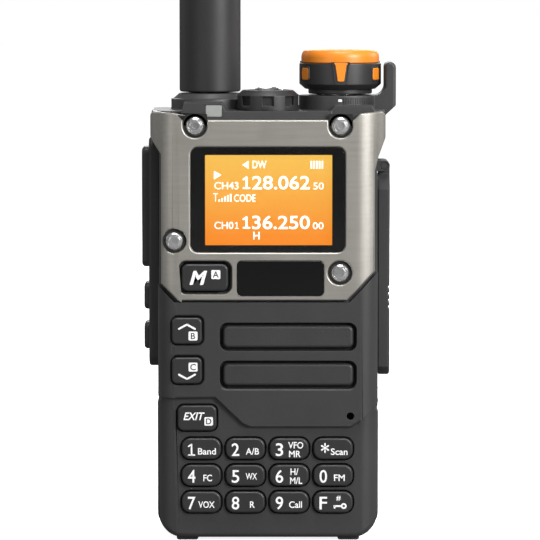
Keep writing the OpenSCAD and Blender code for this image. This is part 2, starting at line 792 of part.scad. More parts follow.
// Guard beside the knob, with a hollow foot and a slanted lower corner
module horn_outline() {
  tip_r = (horn_x1 - horn_x0) / 2;
  foot_r = 2.4;
  difference() {
    polygon([[horn_x0 - foot_r - 2, z_wall_top], [x_shoulder, z_deck - 1.3], [horn_x1, z_deck + 1.1],
      [horn_x1, z_deck + horn_h - tip_r], [horn_x0, z_deck + horn_h - tip_r],
      [horn_x0, z_disc + foot_r], [horn_x0 - foot_r, z_disc], [horn_x0 - foot_r - 2, z_disc]]);
    translate([horn_x0 - foot_r, z_disc + foot_r]) circle(foot_r);
  }
  translate([(horn_x0 + horn_x1) / 2, z_deck + horn_h - tip_r]) circle(tip_r);
}

module status_light() {
  light_z = z_deck + 0.1;
  color("#9aa29e") block([light_x - 1.95, y_seat + slack, light_z - 1.45],
    [light_x + 1.95, y_seat + 1.6, light_z + 1.35]);
}

module torch_bezel() {
  color("#2e2e2e") difference() {
    union() {
      rod_z(0, torch_y, torch_d / 2, z_deck, z_deck + torch_h);
      translate([0, torch_y, z_deck + torch_h])
        cylinder(r1 = torch_d / 2, r2 = torch_d / 2 - 1.5, h = 1.3);
      rod_z(0, torch_y, torch_bore_r + 0.55, z_wall_top, z_deck);
    }
    rod_z(0, torch_y, torch_bore_r, z_wall_top - 1, z_deck + 6);
    for (a = [0:45:315]) translate([0, torch_y, 0]) rotate([0, 0, a])
      block([-1.4, -torch_d / 2 - 1, z_deck + 1.2], [1.4, -torch_d / 2 + 0.9, z_deck + 3.5]);
  }
}

module torch_reflector() {
  color("silver") translate([0, torch_y, z_deck]) difference() {
    cylinder(r = torch_bore_r - fit, h = torch_h + 0.2);
    translate([0, 0, 0.8]) cylinder(r1 = 1.9, r2 = torch_bore_r - 0.5, h = torch_h - 0.5);
    translate([0, 0, -1]) cylinder(r = 1.8, h = 3);
  }
}

module torch_led() {
  color("gold") rod_z(0, torch_y, 1.6, z_wall_top, z_deck + 1.2);
  color("darkgreen") rod_z(0, torch_y, torch_bore_r - 0.2, z_wall_top - 0.8, z_wall_top);
}

module torch_lens() {
  dome = 6;
  rise = 1.4;
  color("white") translate([0, torch_y, z_deck + torch_h + 0.3]) rotate_extrude() {
    flat([0, 0], [torch_bore_r - fit, 0.8]);
    intersection() {
      translate([0, 0.8 + rise - dome]) circle(dome);
      flat([0, 0.4], [3.8, 4]);
    }
  }
}

module volume_control() {
  half = control_size / 2;
  color("#888888") difference() {
    union() {
      block([knob_x - half, knob_y - half, z_wall_top - 9], [knob_x + half, knob_y + half, z_wall_top - 2.2]);
      rod_z(knob_x, knob_y, bushing_r, z_wall_top - 3, z_disc + 0.8);
    }
    rod_z(knob_x, knob_y, shaft_d / 2 + fit, z_wall_top - 7, z_disc + 2);
  }
}

module volume_shaft() {
  color("silver") rod_z(knob_x, knob_y, shaft_d / 2, z_wall_top - 6.9, z_knob + 6);
}

// Knob: neck, tapered skirt and gripped ring, hollow over the bushing
module knob_body() {
  r = knob_d / 2;
  ring_top = z_knob + knob_h - cap_h;
  color("#2a2a2a") difference() {
    union() {
      rod_z(knob_x, knob_y, r - 2.2, z_disc + joint_gap, z_knob);
      translate([knob_x, knob_y, z_knob]) cylinder(r1 = r - 1.4, r2 = r, h = 1.2);
      rod_z(knob_x, knob_y, r, z_knob + 1.2, ring_top);
    }
    rod_z(knob_x, knob_y, shaft_d / 2 + 0.02, z_disc, ring_top + 1);
    rod_z(knob_x, knob_y, bushing_r + joint_gap, z_disc, z_disc + 1.2);
    for (a = [0:15:345]) translate([knob_x, knob_y, 0]) rotate([0, 0, a + 7.5])
      rod_z(r + 0.5, 0, 0.9, z_knob + 1.8, ring_top - 1.2);
  }
}

module knob_cap() {
  r = knob_d / 2 - 0.5;
  base = z_knob + knob_h - cap_h;
  color("darkorange") translate([knob_x, knob_y, base]) rotate_extrude() {
    flat([0, 0], [r, cap_h - 1]);
    flat([0, 0], [r - 1, cap_h - 0.5]);
    flat([r - 3, 0], [r - 1, cap_h]);
    intersection() {
      translate([r - 1, cap_h - 1]) circle(1);
      flat([r - 1, 0], [r, cap_h]);
    }
  }
}

// ---------------------------------------------------------------- antenna

module antenna_socket() {
  color("gold") difference() {
    union() {
      rod_z(antenna_x, antenna_y, thread_r, z_wall_top - 2, z_collar + socket_h - 1);
      rod_z(antenna_x, antenna_y, thread_r + 1.6, z_wall_top - 2, z_wall_top - 0.1);
    }
    rod_z(antenna_x, antenna_y, 2.3, z_collar, z_collar + socket_h);
  }
  color("gold") rod_z(antenna_x, antenna_y, 0.45, z_collar - 0.5, z_collar + socket_h - 1.6);
}

module antenna_plug() {
  color("gold") difference() {
    rod_z(antenna_x, antenna_y, plug_r, z_collar - 2.2, z_whip + 9);
    rod_z(antenna_x, antenna_y, thread_r + 0.08, z_collar - 3, z_whip + 6);
  }
}

module antenna_whip() {
  r = whip_d / 2;
  tip = whip_tip_d / 2;
  base_l = 34;
  color("#2b2b2b") difference() {
    translate([antenna_x, antenna_y, z_whip]) rotate_extrude() {
      flat([0, 0], [r - 0.7, 3]);
      flat([0, 0.7], [r, base_l]);
      translate([r - 0.7, 0.7]) circle(0.7);
      polygon([[0, base_l], [r, base_l], [tip, whip_l - tip], [0, whip_l - tip]]);
      intersection() {
        translate([0, whip_l - tip]) circle(tip);
        flat([0, whip_l - tip], [tip, whip_l]);
      }
    }
    rod_z(antenna_x, antenna_y, plug_r + 0.02, z_whip - 1, z_whip + 9);
  }
}

// ---------------------------------------------------------------- back

module rear_chassis() {
  top_y = y_battery + 7;
  color("#555555") difference() {
    union() {
      block([-x_inner + slack, y_case - 2, z_case + wall + slack],
        [x_inner - slack, y_case, z_wall_top - 2.1]);
      // upper back, above the battery
      slab(z_battery_top + seam, z_wall_top) rounded([0, (y_case + top_y) / 2], battery_w,
        top_y - y_case, 2.5);
      slab(z_battery_top + seam, z_wall_top) flat([-battery_w / 2, y_case], [battery_w / 2, y_case + 4]);
      // claws that hold the battery's foot
      for (s = [-1, 1]) block([s * claw_x - claw_w / 2, y_case, z_battery],
        [s * claw_x + claw_w / 2, pivot_y + 1.3, z_battery + 4]);
    }
    block([-battery_w / 2 + 3, y_case - 3, z_battery_top + 5],
      [battery_w / 2 - 3, top_y - 2.4, z_wall_top + 1]);
    rod_x(pivot_y, pivot_z, pivot_r + fit, -claw_x - claw_w, claw_x + claw_w);
    block([-claw_x - claw_w, pivot_y, pivot_z - 0.2], [claw_x + claw_w, pivot_y + 3, pivot_z + 4]);
    // keeper for the latch, holes for the contacts and the screws
    block([-latch_w / 2 - 1, y_battery + case_t - joint_gap, z_battery_top - 1],
      [latch_w / 2 + 1, y_battery + 6, z_battery_top + 3.4]);
    for (i = [-1, 1]) block([i * contact_x - 1.6, y_case - 3, contact_z - 3.2],
      [i * contact_x + 1.6, y_case + 1, contact_z + 2.8]);
    for (x = chassis_screw_x, z = chassis_screw_z)
      rod_y(x, z, chassis_screw_r + slack, y_case - 3, y_case + 1);
  }
}

module chassis_screws() {
  for (x = chassis_screw_x, z = chassis_screw_z) color("silver") difference() {
    rod_y(x, z, chassis_screw_r, y_case - 3.5, y_case - 0.2);
    rod_y(x, z, 0.7, y_case - 1.2, y_case);
  }
}

module battery_contacts() {
  color("gold") for (i = [-1, 1]) {
    block([i * contact_x - 1.2, y_case - 1.8, contact_z - 2.2],
      [i * contact_x + 1.2, y_case - 1.4, contact_z + 1.8]);
    block([i * contact_x - 1.2, y_case - 1.8, contact_z + 0.4],
      [i * contact_x + 1.2, y_battery - joint_gap, contact_z + 1]);
  }
}

// Battery outline seen from above: flat front, round back corners
module battery_section(inset = 0) {
  w = battery_w - 2 * inset;
  rounded([0, y_battery + battery_t / 2], w, battery_t - 2 * inset, 3 - inset);
  flat([-w / 2, y_battery + inset], [w / 2, y_battery + case_t]);
}

module battery_case() {
  color("#2f2f2f") difference() {
    intersection() {
      slab(z_battery, z_battery_top) battery_section();
      block([-body_w, y_battery, 0], [body_w, y_battery + case_t, body_h]);
    }
    block([-battery_w / 2 + shell, y_battery + shell, z_battery + 5],
      [battery_w / 2 - shell, y_battery + case_t + 1, z_battery_top - shell]);
    for (s = [-1, 1]) block([s * claw_x - claw_w / 2 - joint_gap, y_battery - 1, 0],
      [s * claw_x + claw_w / 2 + joint_gap, y_battery + 2.4, z_battery + 4.6]);
    // slanted lower front edge, so the foot can turn
    side_panel(-body_w, body_w) polygon([[y_battery - 1, z_battery - 1], [y_battery + 2.2, z_battery - 1],
      [y_battery - 1, z_battery + 2.2]]);
    for (i = [-1, 1]) block([i * contact_x - 2, y_battery - 1, contact_z - 1.2],
      [i * contact_x + 2, y_battery + 0.4, contact_z + 2.8]);
  }
  // foot pins that turn in the claws
  color("#2f2f2f") rod_x(pivot_y, pivot_z, pivot_r, -claw_x - claw_w / 2 - 2, claw_x + claw_w / 2 + 2);
}

module battery_lid() {
  front = y_battery + case_t;
  color("#2f2f2f") difference() {
    union() {
      intersection() {
        slab(z_battery, z_battery_top) battery_section();
        block([-body_w, front, 0], [body_w, y_back, body_h]);
      }
      for (s = [-1, 1]) panel(y_back - 5, y_back - 1) rounded([s * 17, z_battery], 8, 2 * z_battery, 0.8);
      for (s = [-1, 1]) side_panel(s * (clip_w / 2 - clip_ear_w / 2) - clip_ear_w / 2,
          s * (clip_w / 2 - clip_ear_w / 2) + clip_ear_w / 2) {
        flat([y_back - 1, clip_pivot_z - 2], [clip_pivot_y, clip_pivot_z + 2]);
        translate([clip_pivot_y, clip_pivot_z]) circle(2);
      }
    }
    block([-battery_w / 2 + shell, front - 1, z_battery + 5],
      [battery_w / 2 - shell, y_back - shell, z_battery_top - shell]);
    rod_x(clip_pivot_y, clip_pivot_z, clip_pin_r + fit, -clip_w, clip_w);
    // notch at the top for the latch
    block([-latch_w / 2 - slack, y_battery + 2, z_battery_top - latch_drop],
      [latch_w / 2 + slack, y_back + 1, z_battery_top + 1]);
  }
}

module battery_cells() {
  color("steelblue") for (s = [-1, 1]) panel(y_battery + shell + 0.2, y_back - shell - 0.3)
    rounded([s * 12, z_battery + 37], 22.6, 58, 1.5);
}

module battery_terminals() {
  color("gold") for (i = [-1, 1]) block([i * contact_x - 1.6, y_battery + 0.1, contact_z - 0.8],
    [i * contact_x + 1.6, y_battery + 0.4, contact_z + 2.4]);
}

// Springy catch: it bends down to leave the keeper when the battery swings out
module battery_latch() {
  front = y_battery + case_t;
  bottom = z_battery_top - latch_drop;
  top = z_battery_top + 2.4;
  color("#262626") side_panel(-latch_w / 2, latch_w / 2) {
    flat([front, bottom], [front + 1.4, top]);
    flat([front, bottom], [y_back, bottom + 2.4]);
    flat([front, top - 1.2], [front + 2.4, top]);
  }
}

// ---------------------------------------------------------------- belt clip

module belt_clip() {
  inner = clip_w / 2 - clip_ear_w - joint_gap;
  low = clip_pivot_z + clip_top - clip_l;
  color("#262626") difference() {
    union() {
      side_panel(-clip_w / 2, clip_w / 2) polygon([[clip_y, clip_pivot_z + clip_top],
        [clip_y + clip_t, clip_pivot_z + clip_top - 1], [clip_y + clip_t, low + 8],
        [clip_y + clip_t - 2.2, low], [y_back + 1, low], [y_back + 0.6, low + 1.2],
        [clip_y - 1.5, low + 6], [clip_y, low + 10]]);
      difference() {
        side_panel(-inner, inner) {
          flat([clip_pivot_y, clip_pivot_z - 2], [clip_y + 0.5, clip_pivot_z + 2]);
          translate([clip_pivot_y, clip_pivot_z]) circle(2);
        }
        block([-3.2, y_back, clip_pivot_z - 4], [3.2, clip_y, clip_pivot_z + 4]);
      }
    }
    rod_x(clip_pivot_y, clip_pivot_z, clip_pin_r + 0.02, -clip_w, clip_w);
  }
}

module clip_pin() {
  color("silver") rod_x(clip_pivot_y, clip_pivot_z, clip_pin_r, -clip_w / 2 + 0.2, clip_w / 2 - 0.2);
}

// Torsion spring wound round the pin in the middle of the barrel
module clip_spring() {
  wire = 0.3;
  color("silver") for (i = [0:4]) translate([(i - 2) * 0.7, clip_pivot_y, clip_pivot_z]) rotate([0, 90, 0])
    rotate_extrude() translate([clip_pin_r + 0.15 + wire, 0]) circle(wire, $fn = 16);
}

// ---------------------------------------------------------------- nodes

front_casing();
face_plate();
plate_screws();
display_window();
display_panel();
display_backlight();
badge_plate();
speaker_grille();
speaker();
microphone();
main_board();
keypad_membrane();
rear_chassis();
chassis_screws();
top_housing();
antenna_socket();
volume_control();
torch_bezel();
torch_reflector();
torch_lens();
torch_led();
status_light();
side_rail();
side_switches();
jack_block();
usb_socket();
battery_contacts();
keypad_key("key_1");  // key_1
keypad_key("key_2");  // key_2
keypad_key("key_3");  // key_3
keypad_key("key_star");  // key_star
keypad_key("key_4");  // key_4
keypad_key("key_5");  // key_5
keypad_key("key_6");  // key_6
keypad_key("key_0");  // key_0
keypad_key("key_7");  // key_7
keypad_key("key_8");  // key_8
keypad_key("key_9");  // key_9
keypad_key("key_func");  // key_func
key_exit();
arrow_key(-1);  // key_down
arrow_key(1);  // key_up
key_menu();
side_button(ptt_z0, ptt_z1, ptt_out);  // ptt_button
side_button(side_upper_z - side_key_h / 2, side_upper_z + side_key_h / 2, side_out);  // side_key_upper
side_button(side_lower_z - side_key_h / 2, side_lower_z + side_key_h / 2, side_out);  // side_key_lower
knob_body();
knob_cap();
volume_shaft();
antenna_whip();
antenna_plug();
jack_cover();
battery_case();
battery_lid();
battery_cells();
battery_terminals();
battery_latch();
belt_clip();
clip_pin();
clip_spring();
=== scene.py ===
"""Looks of a compact handheld two-way radio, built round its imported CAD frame."""

import math

import bmesh
import bpy
from mathutils import Matrix, Vector


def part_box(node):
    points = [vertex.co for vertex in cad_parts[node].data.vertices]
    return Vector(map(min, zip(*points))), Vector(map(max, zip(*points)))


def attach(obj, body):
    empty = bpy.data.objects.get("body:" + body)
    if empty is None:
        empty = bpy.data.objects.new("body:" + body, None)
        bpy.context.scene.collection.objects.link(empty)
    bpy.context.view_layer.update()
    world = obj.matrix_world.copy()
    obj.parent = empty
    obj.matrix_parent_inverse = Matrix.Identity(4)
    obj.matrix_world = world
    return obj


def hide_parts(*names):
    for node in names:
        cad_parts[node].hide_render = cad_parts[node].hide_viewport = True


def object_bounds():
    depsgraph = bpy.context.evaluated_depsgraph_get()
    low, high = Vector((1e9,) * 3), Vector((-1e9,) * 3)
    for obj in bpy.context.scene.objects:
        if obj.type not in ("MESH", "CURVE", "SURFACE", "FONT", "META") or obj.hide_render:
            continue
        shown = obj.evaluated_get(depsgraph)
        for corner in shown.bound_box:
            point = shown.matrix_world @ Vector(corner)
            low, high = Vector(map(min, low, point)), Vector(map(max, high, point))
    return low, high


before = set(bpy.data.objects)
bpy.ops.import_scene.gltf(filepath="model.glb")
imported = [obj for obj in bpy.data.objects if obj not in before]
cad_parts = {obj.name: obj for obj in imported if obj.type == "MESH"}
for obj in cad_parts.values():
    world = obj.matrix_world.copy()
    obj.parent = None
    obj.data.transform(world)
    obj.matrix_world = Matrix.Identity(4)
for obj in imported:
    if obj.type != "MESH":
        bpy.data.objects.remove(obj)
cad_low, cad_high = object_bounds()

bl_info = {
    "name": "Handheld Radio",
    "version": (1, 0, 0),
    "blender": (4, 5, 0),
    "location": "3D View > Sidebar > Radio",
    "description": "Builds the visible pieces of a compact handheld two-way radio",
    "category": "Object",
}

MM = 0.001
FRONT = Vector((0, -1, 0))
UP = Vector((0, 0, 1))
MERGE = 0.002 * MM
FLAT_ANGLE = math.radians(0.6)
SHARP_ANGLE = math.radians(28)
SMOOTH_ANGLE = math.radians(32)
FLANGE = 0.55 * MM
KEYPAD_NODES = [
    "key_1", "key_2", "key_3", "key_star",
    "key_4", "key_5", "key_6", "key_0",
    "key_7", "key_8", "key_9", "key_func",
]


# ------------------------------------------------------------------ sizes and colours


class RadioSizes(bpy.types.PropertyGroup):
    """Sizes of the visible detail."""

    edge_round: bpy.props.FloatProperty(
        name="Edge rounding", description="Rounding of the moulded edges",
        default=0.13 * MM, min=0.02 * MM, max=0.2 * MM, unit="LENGTH", precision=5,
    )
    foot_round: bpy.props.FloatProperty(
        name="Foot rounding", description="Rounding of the casing's bottom edge",
        default=1.3 * MM, min=0.2 * MM, max=2 * MM, unit="LENGTH", precision=5,
    )
    plate_rim: bpy.props.FloatProperty(
        name="Plate rim", description="Width of the bright cut rim of the face plate",
        default=0.42 * MM, min=0.1 * MM, max=0.6 * MM, unit="LENGTH", precision=5,
    )
    key_round: bpy.props.FloatProperty(
        name="Key rounding", description="Rounding of the key caps",
        default=0.5 * MM, min=0.1 * MM, max=0.7 * MM, unit="LENGTH", precision=5,
    )
    digit_height: bpy.props.FloatProperty(
        name="Digit height", description="Height of the digits on the keypad",
        default=2.95 * MM, min=1.5 * MM, max=3.5 * MM, unit="LENGTH", precision=5,
    )
    word_height: bpy.props.FloatProperty(
        name="Word height", description="Height of the small words on the keypad",
        default=1.5 * MM, min=0.8 * MM, max=1.8 * MM, unit="LENGTH", precision=5,
    )
    legend_relief: bpy.props.FloatProperty(
        name="Legend relief", description="How far the printed legends stand out",
        default=0.02 * MM, min=0.01 * MM, max=0.1 * MM, unit="LENGTH", precision=5,
    )


class RadioColours(bpy.types.PropertyGroup):
    """Colours of the finishes."""

    shell: bpy.props.FloatVectorProperty(
        name="Shell", description="Moulded black of the casing",
        default=(0.029, 0.029, 0.03), min=0, max=1, subtype="COLOR",
    )
    keys: bpy.props.FloatVectorProperty(
        name="Keys", description="Black of the key caps",
        default=(0.022, 0.022, 0.0225), min=0, max=1, subtype="COLOR",
    )
    plate: bpy.props.FloatVectorProperty(
        name="Plate", description="Warm grey of the metal face plate",
        default=(0.385, 0.367, 0.334), min=0, max=1, subtype="COLOR",
    )
    accent: bpy.props.FloatVectorProperty(
        name="Accent", description="Orange of the knob",
        default=(0.87, 0.25, 0.018), min=0, max=1, subtype="COLOR",
    )
    legend: bpy.props.FloatVectorProperty(
        name="Legend", description="White of the printed legends",
        default=(0.95, 0.95, 0.94), min=0, max=1, subtype="COLOR",
    )
    glow_top: bpy.props.FloatVectorProperty(
        name="Glow, top", description="Screen colour at the top",
        default=(0.98, 0.62, 0.1), min=0, max=1, subtype="COLOR",
    )
    glow_bottom: bpy.props.FloatVectorProperty(
        name="Glow, bottom", description="Screen colour at the bottom",
        default=(0.98, 0.27, 0.01), min=0, max=1, subtype="COLOR",
    )


def sizes():
    return bpy.context.scene.radio_sizes


def colours():
    return bpy.context.scene.radio_colours


# ------------------------------------------------------------------ shop helpers


def only(piece):
    """Selects one piece and nothing else."""
    bpy.ops.object.select_all(action="DESELECT")
    piece.select_set(True)
    bpy.context.view_layer.objects.active = piece


def pick(piece, test, kind="EDGE"):
    """Opens a piece in edit mode with the edges, faces or vertices that pass a test selected."""
    only(piece)
    bpy.ops.object.mode_set(mode="EDIT")
    bpy.ops.mesh.select_mode(type=kind)
    bpy.ops.mesh.select_all(action="DESELECT")
    mesh = bmesh.from_edit_mesh(piece.data)
    parts = {"EDGE": mesh.edges, "FACE": mesh.faces, "VERT": mesh.verts}[kind]
    found = 0
    for part in parts:
        if test(part):
            part.select_set(True)
            found += 1
    mesh.select_flush_mode()
    bmesh.update_edit_mesh(piece.data)
    return found


def close():
    bpy.ops.object.mode_set(mode="OBJECT")


def whole(piece):
    """Opens a piece in edit mode with everything selected."""
    only(piece)
    bpy.ops.object.mode_set(mode="EDIT")
    bpy.ops.mesh.select_mode(type="VERT")
    bpy.ops.mesh.select_all(action="SELECT")


def mend(piece):
    """Merges doubles and turns every face outwards."""
    whole(piece)
    bpy.ops.mesh.remove_doubles(threshold=MERGE / 2)
    bpy.ops.mesh.normals_make_consistent(inside=False)
    close()


def settle(piece):
    """Puts a piece's place into its mesh."""
    only(piece)
    bpy.ops.object.transform_apply(location=True, rotation=True, scale=True)
    return piece


def middle_of(edge):
    return (edge.verts[0].co + edge.verts[1].co) / 2


def soften(piece, width, where=None, steps=2, sharp=SHARP_ANGLE, paint=-1):
    """Rounds the sharp edges whose middle passes a test."""
    def wanted(edge):
        if len(edge.link_faces) != 2 or edge.calc_face_angle(0) < sharp:
            return False
        return where is None or where(middle_of(edge))

    if pick(piece, wanted):
        bpy.ops.mesh.bevel(
            offset_type="OFFSET", offset=width, segments=steps, profile=0.5,
            affect="EDGES", clamp_overlap=False, material=paint,
        )
    close()


def shadow(piece, where):
    """Gives the faces that pass a test the second finish, the painted shade black."""
    if pick(piece, where, "FACE"):
        piece.data.materials.append(None)
        piece.data.materials.append(None)
        piece.active_material_index = 1
        bpy.ops.object.material_slot_assign()
    close()


def copy_of(node, name):
    """A merged copy of a CAD node's mesh, as a new piece."""
    piece = bpy.data.objects.new(name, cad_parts[node].data.copy())
    bpy.context.scene.collection.objects.link(piece)
    piece.data.materials.clear()
    only(piece)
    bpy.ops.mesh.customdata_custom_splitnormals_clear()
    whole(piece)
    bpy.ops.mesh.remove_doubles(threshold=MERGE)
    bpy.ops.mesh.dissolve_limited(angle_limit=FLAT_ANGLE)
    close()
    return piece


def twin(piece, name, move=Vector((0, 0, 0)), turn=0.0, about=Vector((0, 0, 0))):
    """A copy of a piece with its own mesh, turned about an upright line and moved."""
    only(piece)
    bpy.ops.object.duplicate(linked=False)
    copy = bpy.context.view_layer.objects.active
    copy.name = name
    place = Matrix.Translation(Vector(about) + Vector(move))
    copy.matrix_world = place @ Matrix.Rotation(turn, 4, "Z") @ Matrix.Translation(-Vector(about))
    return settle(copy)


def join(pieces, name):
    """Joins pieces into the first one."""
    bpy.ops.object.select_all(action="DESELECT")
    for piece in pieces:
        piece.select_set(True)
    bpy.context.view_layer.objects.active = pieces[0]
    if len(pieces) > 1:
        bpy.ops.object.join()
    pieces[0].name = name
    return pieces[0]


def outline(middle, width, height, radius, steps=5):
    """In edit mode: adds an upright rounded rectangle that faces the front, selected."""
    bpy.ops.mesh.primitive_plane_add(size=1, location=middle, rotation=(math.pi / 2, 0, 0))
    if bpy.context.mode == "OBJECT":
        whole(bpy.context.view_layer.objects.active)
    bpy.ops.transform.resize(value=(width, 1, height), center_override=middle)
    if radius > 0:
        bpy.ops.mesh.bevel(
            offset_type="OFFSET", offset=radius, segments=steps, profile=0.5,
            affect="VERTICES", clamp_overlap=True,
        )


def slab(name, middle, width, height, depth, radius, steps=5):
    """A rounded slab: middle is the middle of its front face, and it runs back from there."""
    outline(middle, width, height, radius, steps)
    piece = bpy.context.view_layer.objects.active
    bpy.ops.mesh.select_all(action="SELECT")
    bpy.ops.mesh.extrude_region_move(TRANSFORM_OT_translate={"value": (0, depth, 0)})
    close()
    piece.name = name
    settle(piece)
    mend(piece)
    return piece


def at_front(y, slip=0.02 * MM):
    """A test for points on the plane at y."""
    return lambda point: abs(point.y - y) < slip


def trim(name, outer, outer_r, inner, inner_r, y, depth):
    """A flat frame between two rounded rectangles, each (low, high) in x and z."""
    added = []
    for (x0, z0, x1, z1), radius in ((outer, outer_r), (inner, inner_r)):
        outline(Vector(((x0 + x1) / 2, y, (z0 + z1) / 2)), x1 - x0, z1 - z0, radius)
        bpy.ops.mesh.delete(type="ONLY_FACE")
        added.append(bpy.context.view_layer.objects.active)
        close()
        settle(added[-1])
    piece = join(added, name)
    whole(piece)
    bpy.ops.mesh.bridge_edge_loops()
    bpy.ops.mesh.select_all(action="SELECT")
    bpy.ops.mesh.extrude_region_move(TRANSFORM_OT_translate={"value": (0, depth, 0)})
    close()
    mend(piece)
    return piece


def shape(name, points, y, depth):
    """A slab cut to an outline of (x, z) points, front face at y."""
    corners = [Vector((x, y, z)) for x, z in points]
    bpy.ops.mesh.primitive_plane_add(size=MM, location=corners[0])
    piece = bpy.context.view_layer.objects.active
    piece.name = name
    settle(piece)
    whole(piece)
    bpy.ops.mesh.merge(type="CENTER")
    for start, end in zip(corners, corners[1:]):
        bpy.ops.mesh.extrude_vertices_move(TRANSFORM_OT_translate={"value": end - start})
    bpy.ops.mesh.select_all(action="SELECT")
    bpy.ops.mesh.edge_face_add()
    bpy.ops.mesh.extrude_region_move(TRANSFORM_OT_translate={"value": (0, depth, 0)})
    close()
    mend(piece)
    return piece


def lathe(name, profile, middle, axis=UP, steps=64):
    """Turns a profile of (radius, height) points about an axis through middle."""
    across = Vector((1, 0, 0))
    points = [middle + across * r + Vector(axis) * h for r, h in profile]
    bpy.ops.mesh.primitive_plane_add(size=MM, location=points[0])
    piece = bpy.context.view_layer.objects.active
    piece.name = name
    settle(piece)
    whole(piece)
    bpy.ops.mesh.merge(type="CENTER")
    for start, end in zip(points, points[1:]):
        bpy.ops.mesh.extrude_vertices_move(TRANSFORM_OT_translate={"value": end - start})
    bpy.ops.mesh.select_all(action="SELECT")
    bpy.ops.mesh.spin(steps=steps, angle=math.tau, center=middle, axis=axis)
    close()
    mend(piece)
    return piece


def letters(words, height, left, base, y, width=None, weight=0.0, slant=0.0, anchor="LEFT"):
    """Raised lettering: height of its capitals, its left (or middle) and base line, its front y."""
    bpy.ops.object.select_all(action="DESELECT")
    bpy.ops.object.text_add(location=(0, 0, 0))
    text = bpy.context.view_layer.objects.active
    text.data.body = "H"
    text.data.size = 1
    bpy.context.view_layer.update()
    capital = text.dimensions.y
    text.data.body = words
    text.data.size = height / capital
    text.data.shear = slant
    text.data.offset = weight
    text.data.resolution_u = 4
    text.data.extrude = sizes().legend_relief
    bpy.ops.object.convert(target="MESH")
    piece = bpy.context.view_layer.objects.active
    low = Vector(min(v.co[i] for v in piece.data.vertices) for i in range(3))
    high = Vector(max(v.co[i] for v in piece.data.vertices) for i in range(3))
    stretch = width / (high.x - low.x) if width else 1
    shift = -low.x if anchor == "LEFT" else -(low.x + high.x) / 2
    place = Matrix.Translation((left, y, base))
    upright = Matrix.Rotation(math.pi / 2, 4, "X")
    size = Matrix.Diagonal((stretch, 1, 1, 1))
    piece.matrix_world = place @ upright @ size @ Matrix.Translation((shift, 0, 0))
    return settle(piece)


def numeral_one(x, base, height, y, relief, bold=0.15):
    """A figure one with a flag and a foot; x is its stem."""
    thick = height * bold
    top = base + height - thick / 2
    low = base + thick / 2
    flag = height * 0.24
    parts = [
        stroke([(x, low), (x, top)], thick, y, relief),
        stroke([(x - flag, top - height * 0.17), (x, top)], thick * 0.9, y, relief),
        stroke([(x - flag, low), (x + flag, low)], thick * 0.85, y, relief),
    ]
    return join(parts, "one")


def stroke(points, thickness, y, relief):
    """A flat band along points in x and z, as a thin raised mark."""
    parts = []
    for (x0, z0), (x1, z1) in zip(points, points[1:]):
        run = Vector((x1 - x0, 0, z1 - z0))
        middle = Vector(((x0 + x1) / 2, y, (z0 + z1) / 2))
        part = slab("stroke", Vector((0, 0, 0)), run.length + thickness, thickness, relief,
                    thickness * 0.49, 3)
        turn = Matrix.Rotation(-math.atan2(run.z, run.x), 4, "Y")
        part.matrix_world = Matrix.Translation(middle) @ turn
        parts.append(settle(part))
    return join(parts, "stroke")


def pointer(x, z, width, height, y, relief, side):
    """A raised triangle that points left (side -1) or right (side 1)."""
    piece = slab("pointer", Vector((x, y, z)), width, height, relief, 0)
    tips = pick(piece, lambda v: (v.co.x - x) * side > 0, "VERT")
    if tips:
        bpy.ops.transform.resize(value=(1, 1, 0.02), center_override=(x, y, z))
    close()
    return piece


# ------------------------------------------------------------------ shader groups


def new_group(name, inputs, outputs):
    """A shader group with number inputs and outputs, ready to be filled."""
    group = bpy.data.node_groups.new(name, "ShaderNodeTree")
    for label, value in inputs:
        socket = group.interface.new_socket(label, in_out="INPUT", socket_type="NodeSocketFloat")
        socket.default_value = value
    for label in outputs:
        group.interface.new_socket(label, in_out="OUTPUT", socket_type="NodeSocketFloat")
    start = group.nodes.new("NodeGroupInput")
    end = group.nodes.new("NodeGroupOutput")
    return group, start, end


def maths(tree, operation, first, second, clamp=False):
    """A Math node between two sockets or numbers."""
    node = tree.nodes.new("ShaderNodeMath")
    node.operation = operation
    node.use_clamp = clamp
    for slot, value in zip(node.inputs, (first, second)):
        if isinstance(value, (int, float)):
            slot.default_value = value
        else:
            tree.links.new(value, slot)
    return node.outputs[0]


def spread(tree, value, low, high, new_low=0.0, new_high=1.0):
    """Maps a range to another, clamped."""
    node = tree.nodes.new("ShaderNodeMapRange")
    node.clamp = True
    tree.links.new(value, node.inputs["Value"])
    node.inputs["From Min"].default_value = low
    node.inputs["From Max"].default_value = high
    node.inputs["To Min"].default_value = new_low
    node.inputs["To Max"].default_value = new_high
    return node.outputs["Result"]


def noise(tree, vector, scale, detail=3.0, rough=0.55):
    node = tree.nodes.new("ShaderNodeTexNoise")
    node.inputs["Detail"].default_value = detail
    node.inputs["Roughness"].default_value = rough
    tree.links.new(vector, node.inputs["Vector"])
    if isinstance(scale, (int, float)):
        node.inputs["Scale"].default_value = scale
    else:
        tree.links.new(scale, node.inputs["Scale"])
    return node.outputs["Fac"]


def object_place(tree):
    return tree.nodes.new("ShaderNodeTexCoord").outputs["Object"]


def moulded_grain():
    """Spark-eroded mould texture: pits and soft patches."""
    group, start, end = new_group(
        "Moulded grain", [("Grain", 5200.0), ("Patch", 60.0)], ["Height", "Patches"]
    )
    place = object_place(group)
    cells = group.nodes.new("ShaderNodeTexVoronoi")
    group.links.new(place, cells.inputs["Vector"])
    group.links.new(start.outputs["Grain"], cells.inputs["Scale"])
    fine = noise(group, place, start.outputs["Grain"], 2.0, 0.6)
    height = maths(group, "ADD", maths(group, "MULTIPLY", cells.outputs["Distance"], 0.55), fine)
    group.links.new(height, end.inputs["Height"])
    group.links.new(noise(group, place, start.outputs["Patch"], 4.0, 0.6), end.inputs["Patches"])
    return group


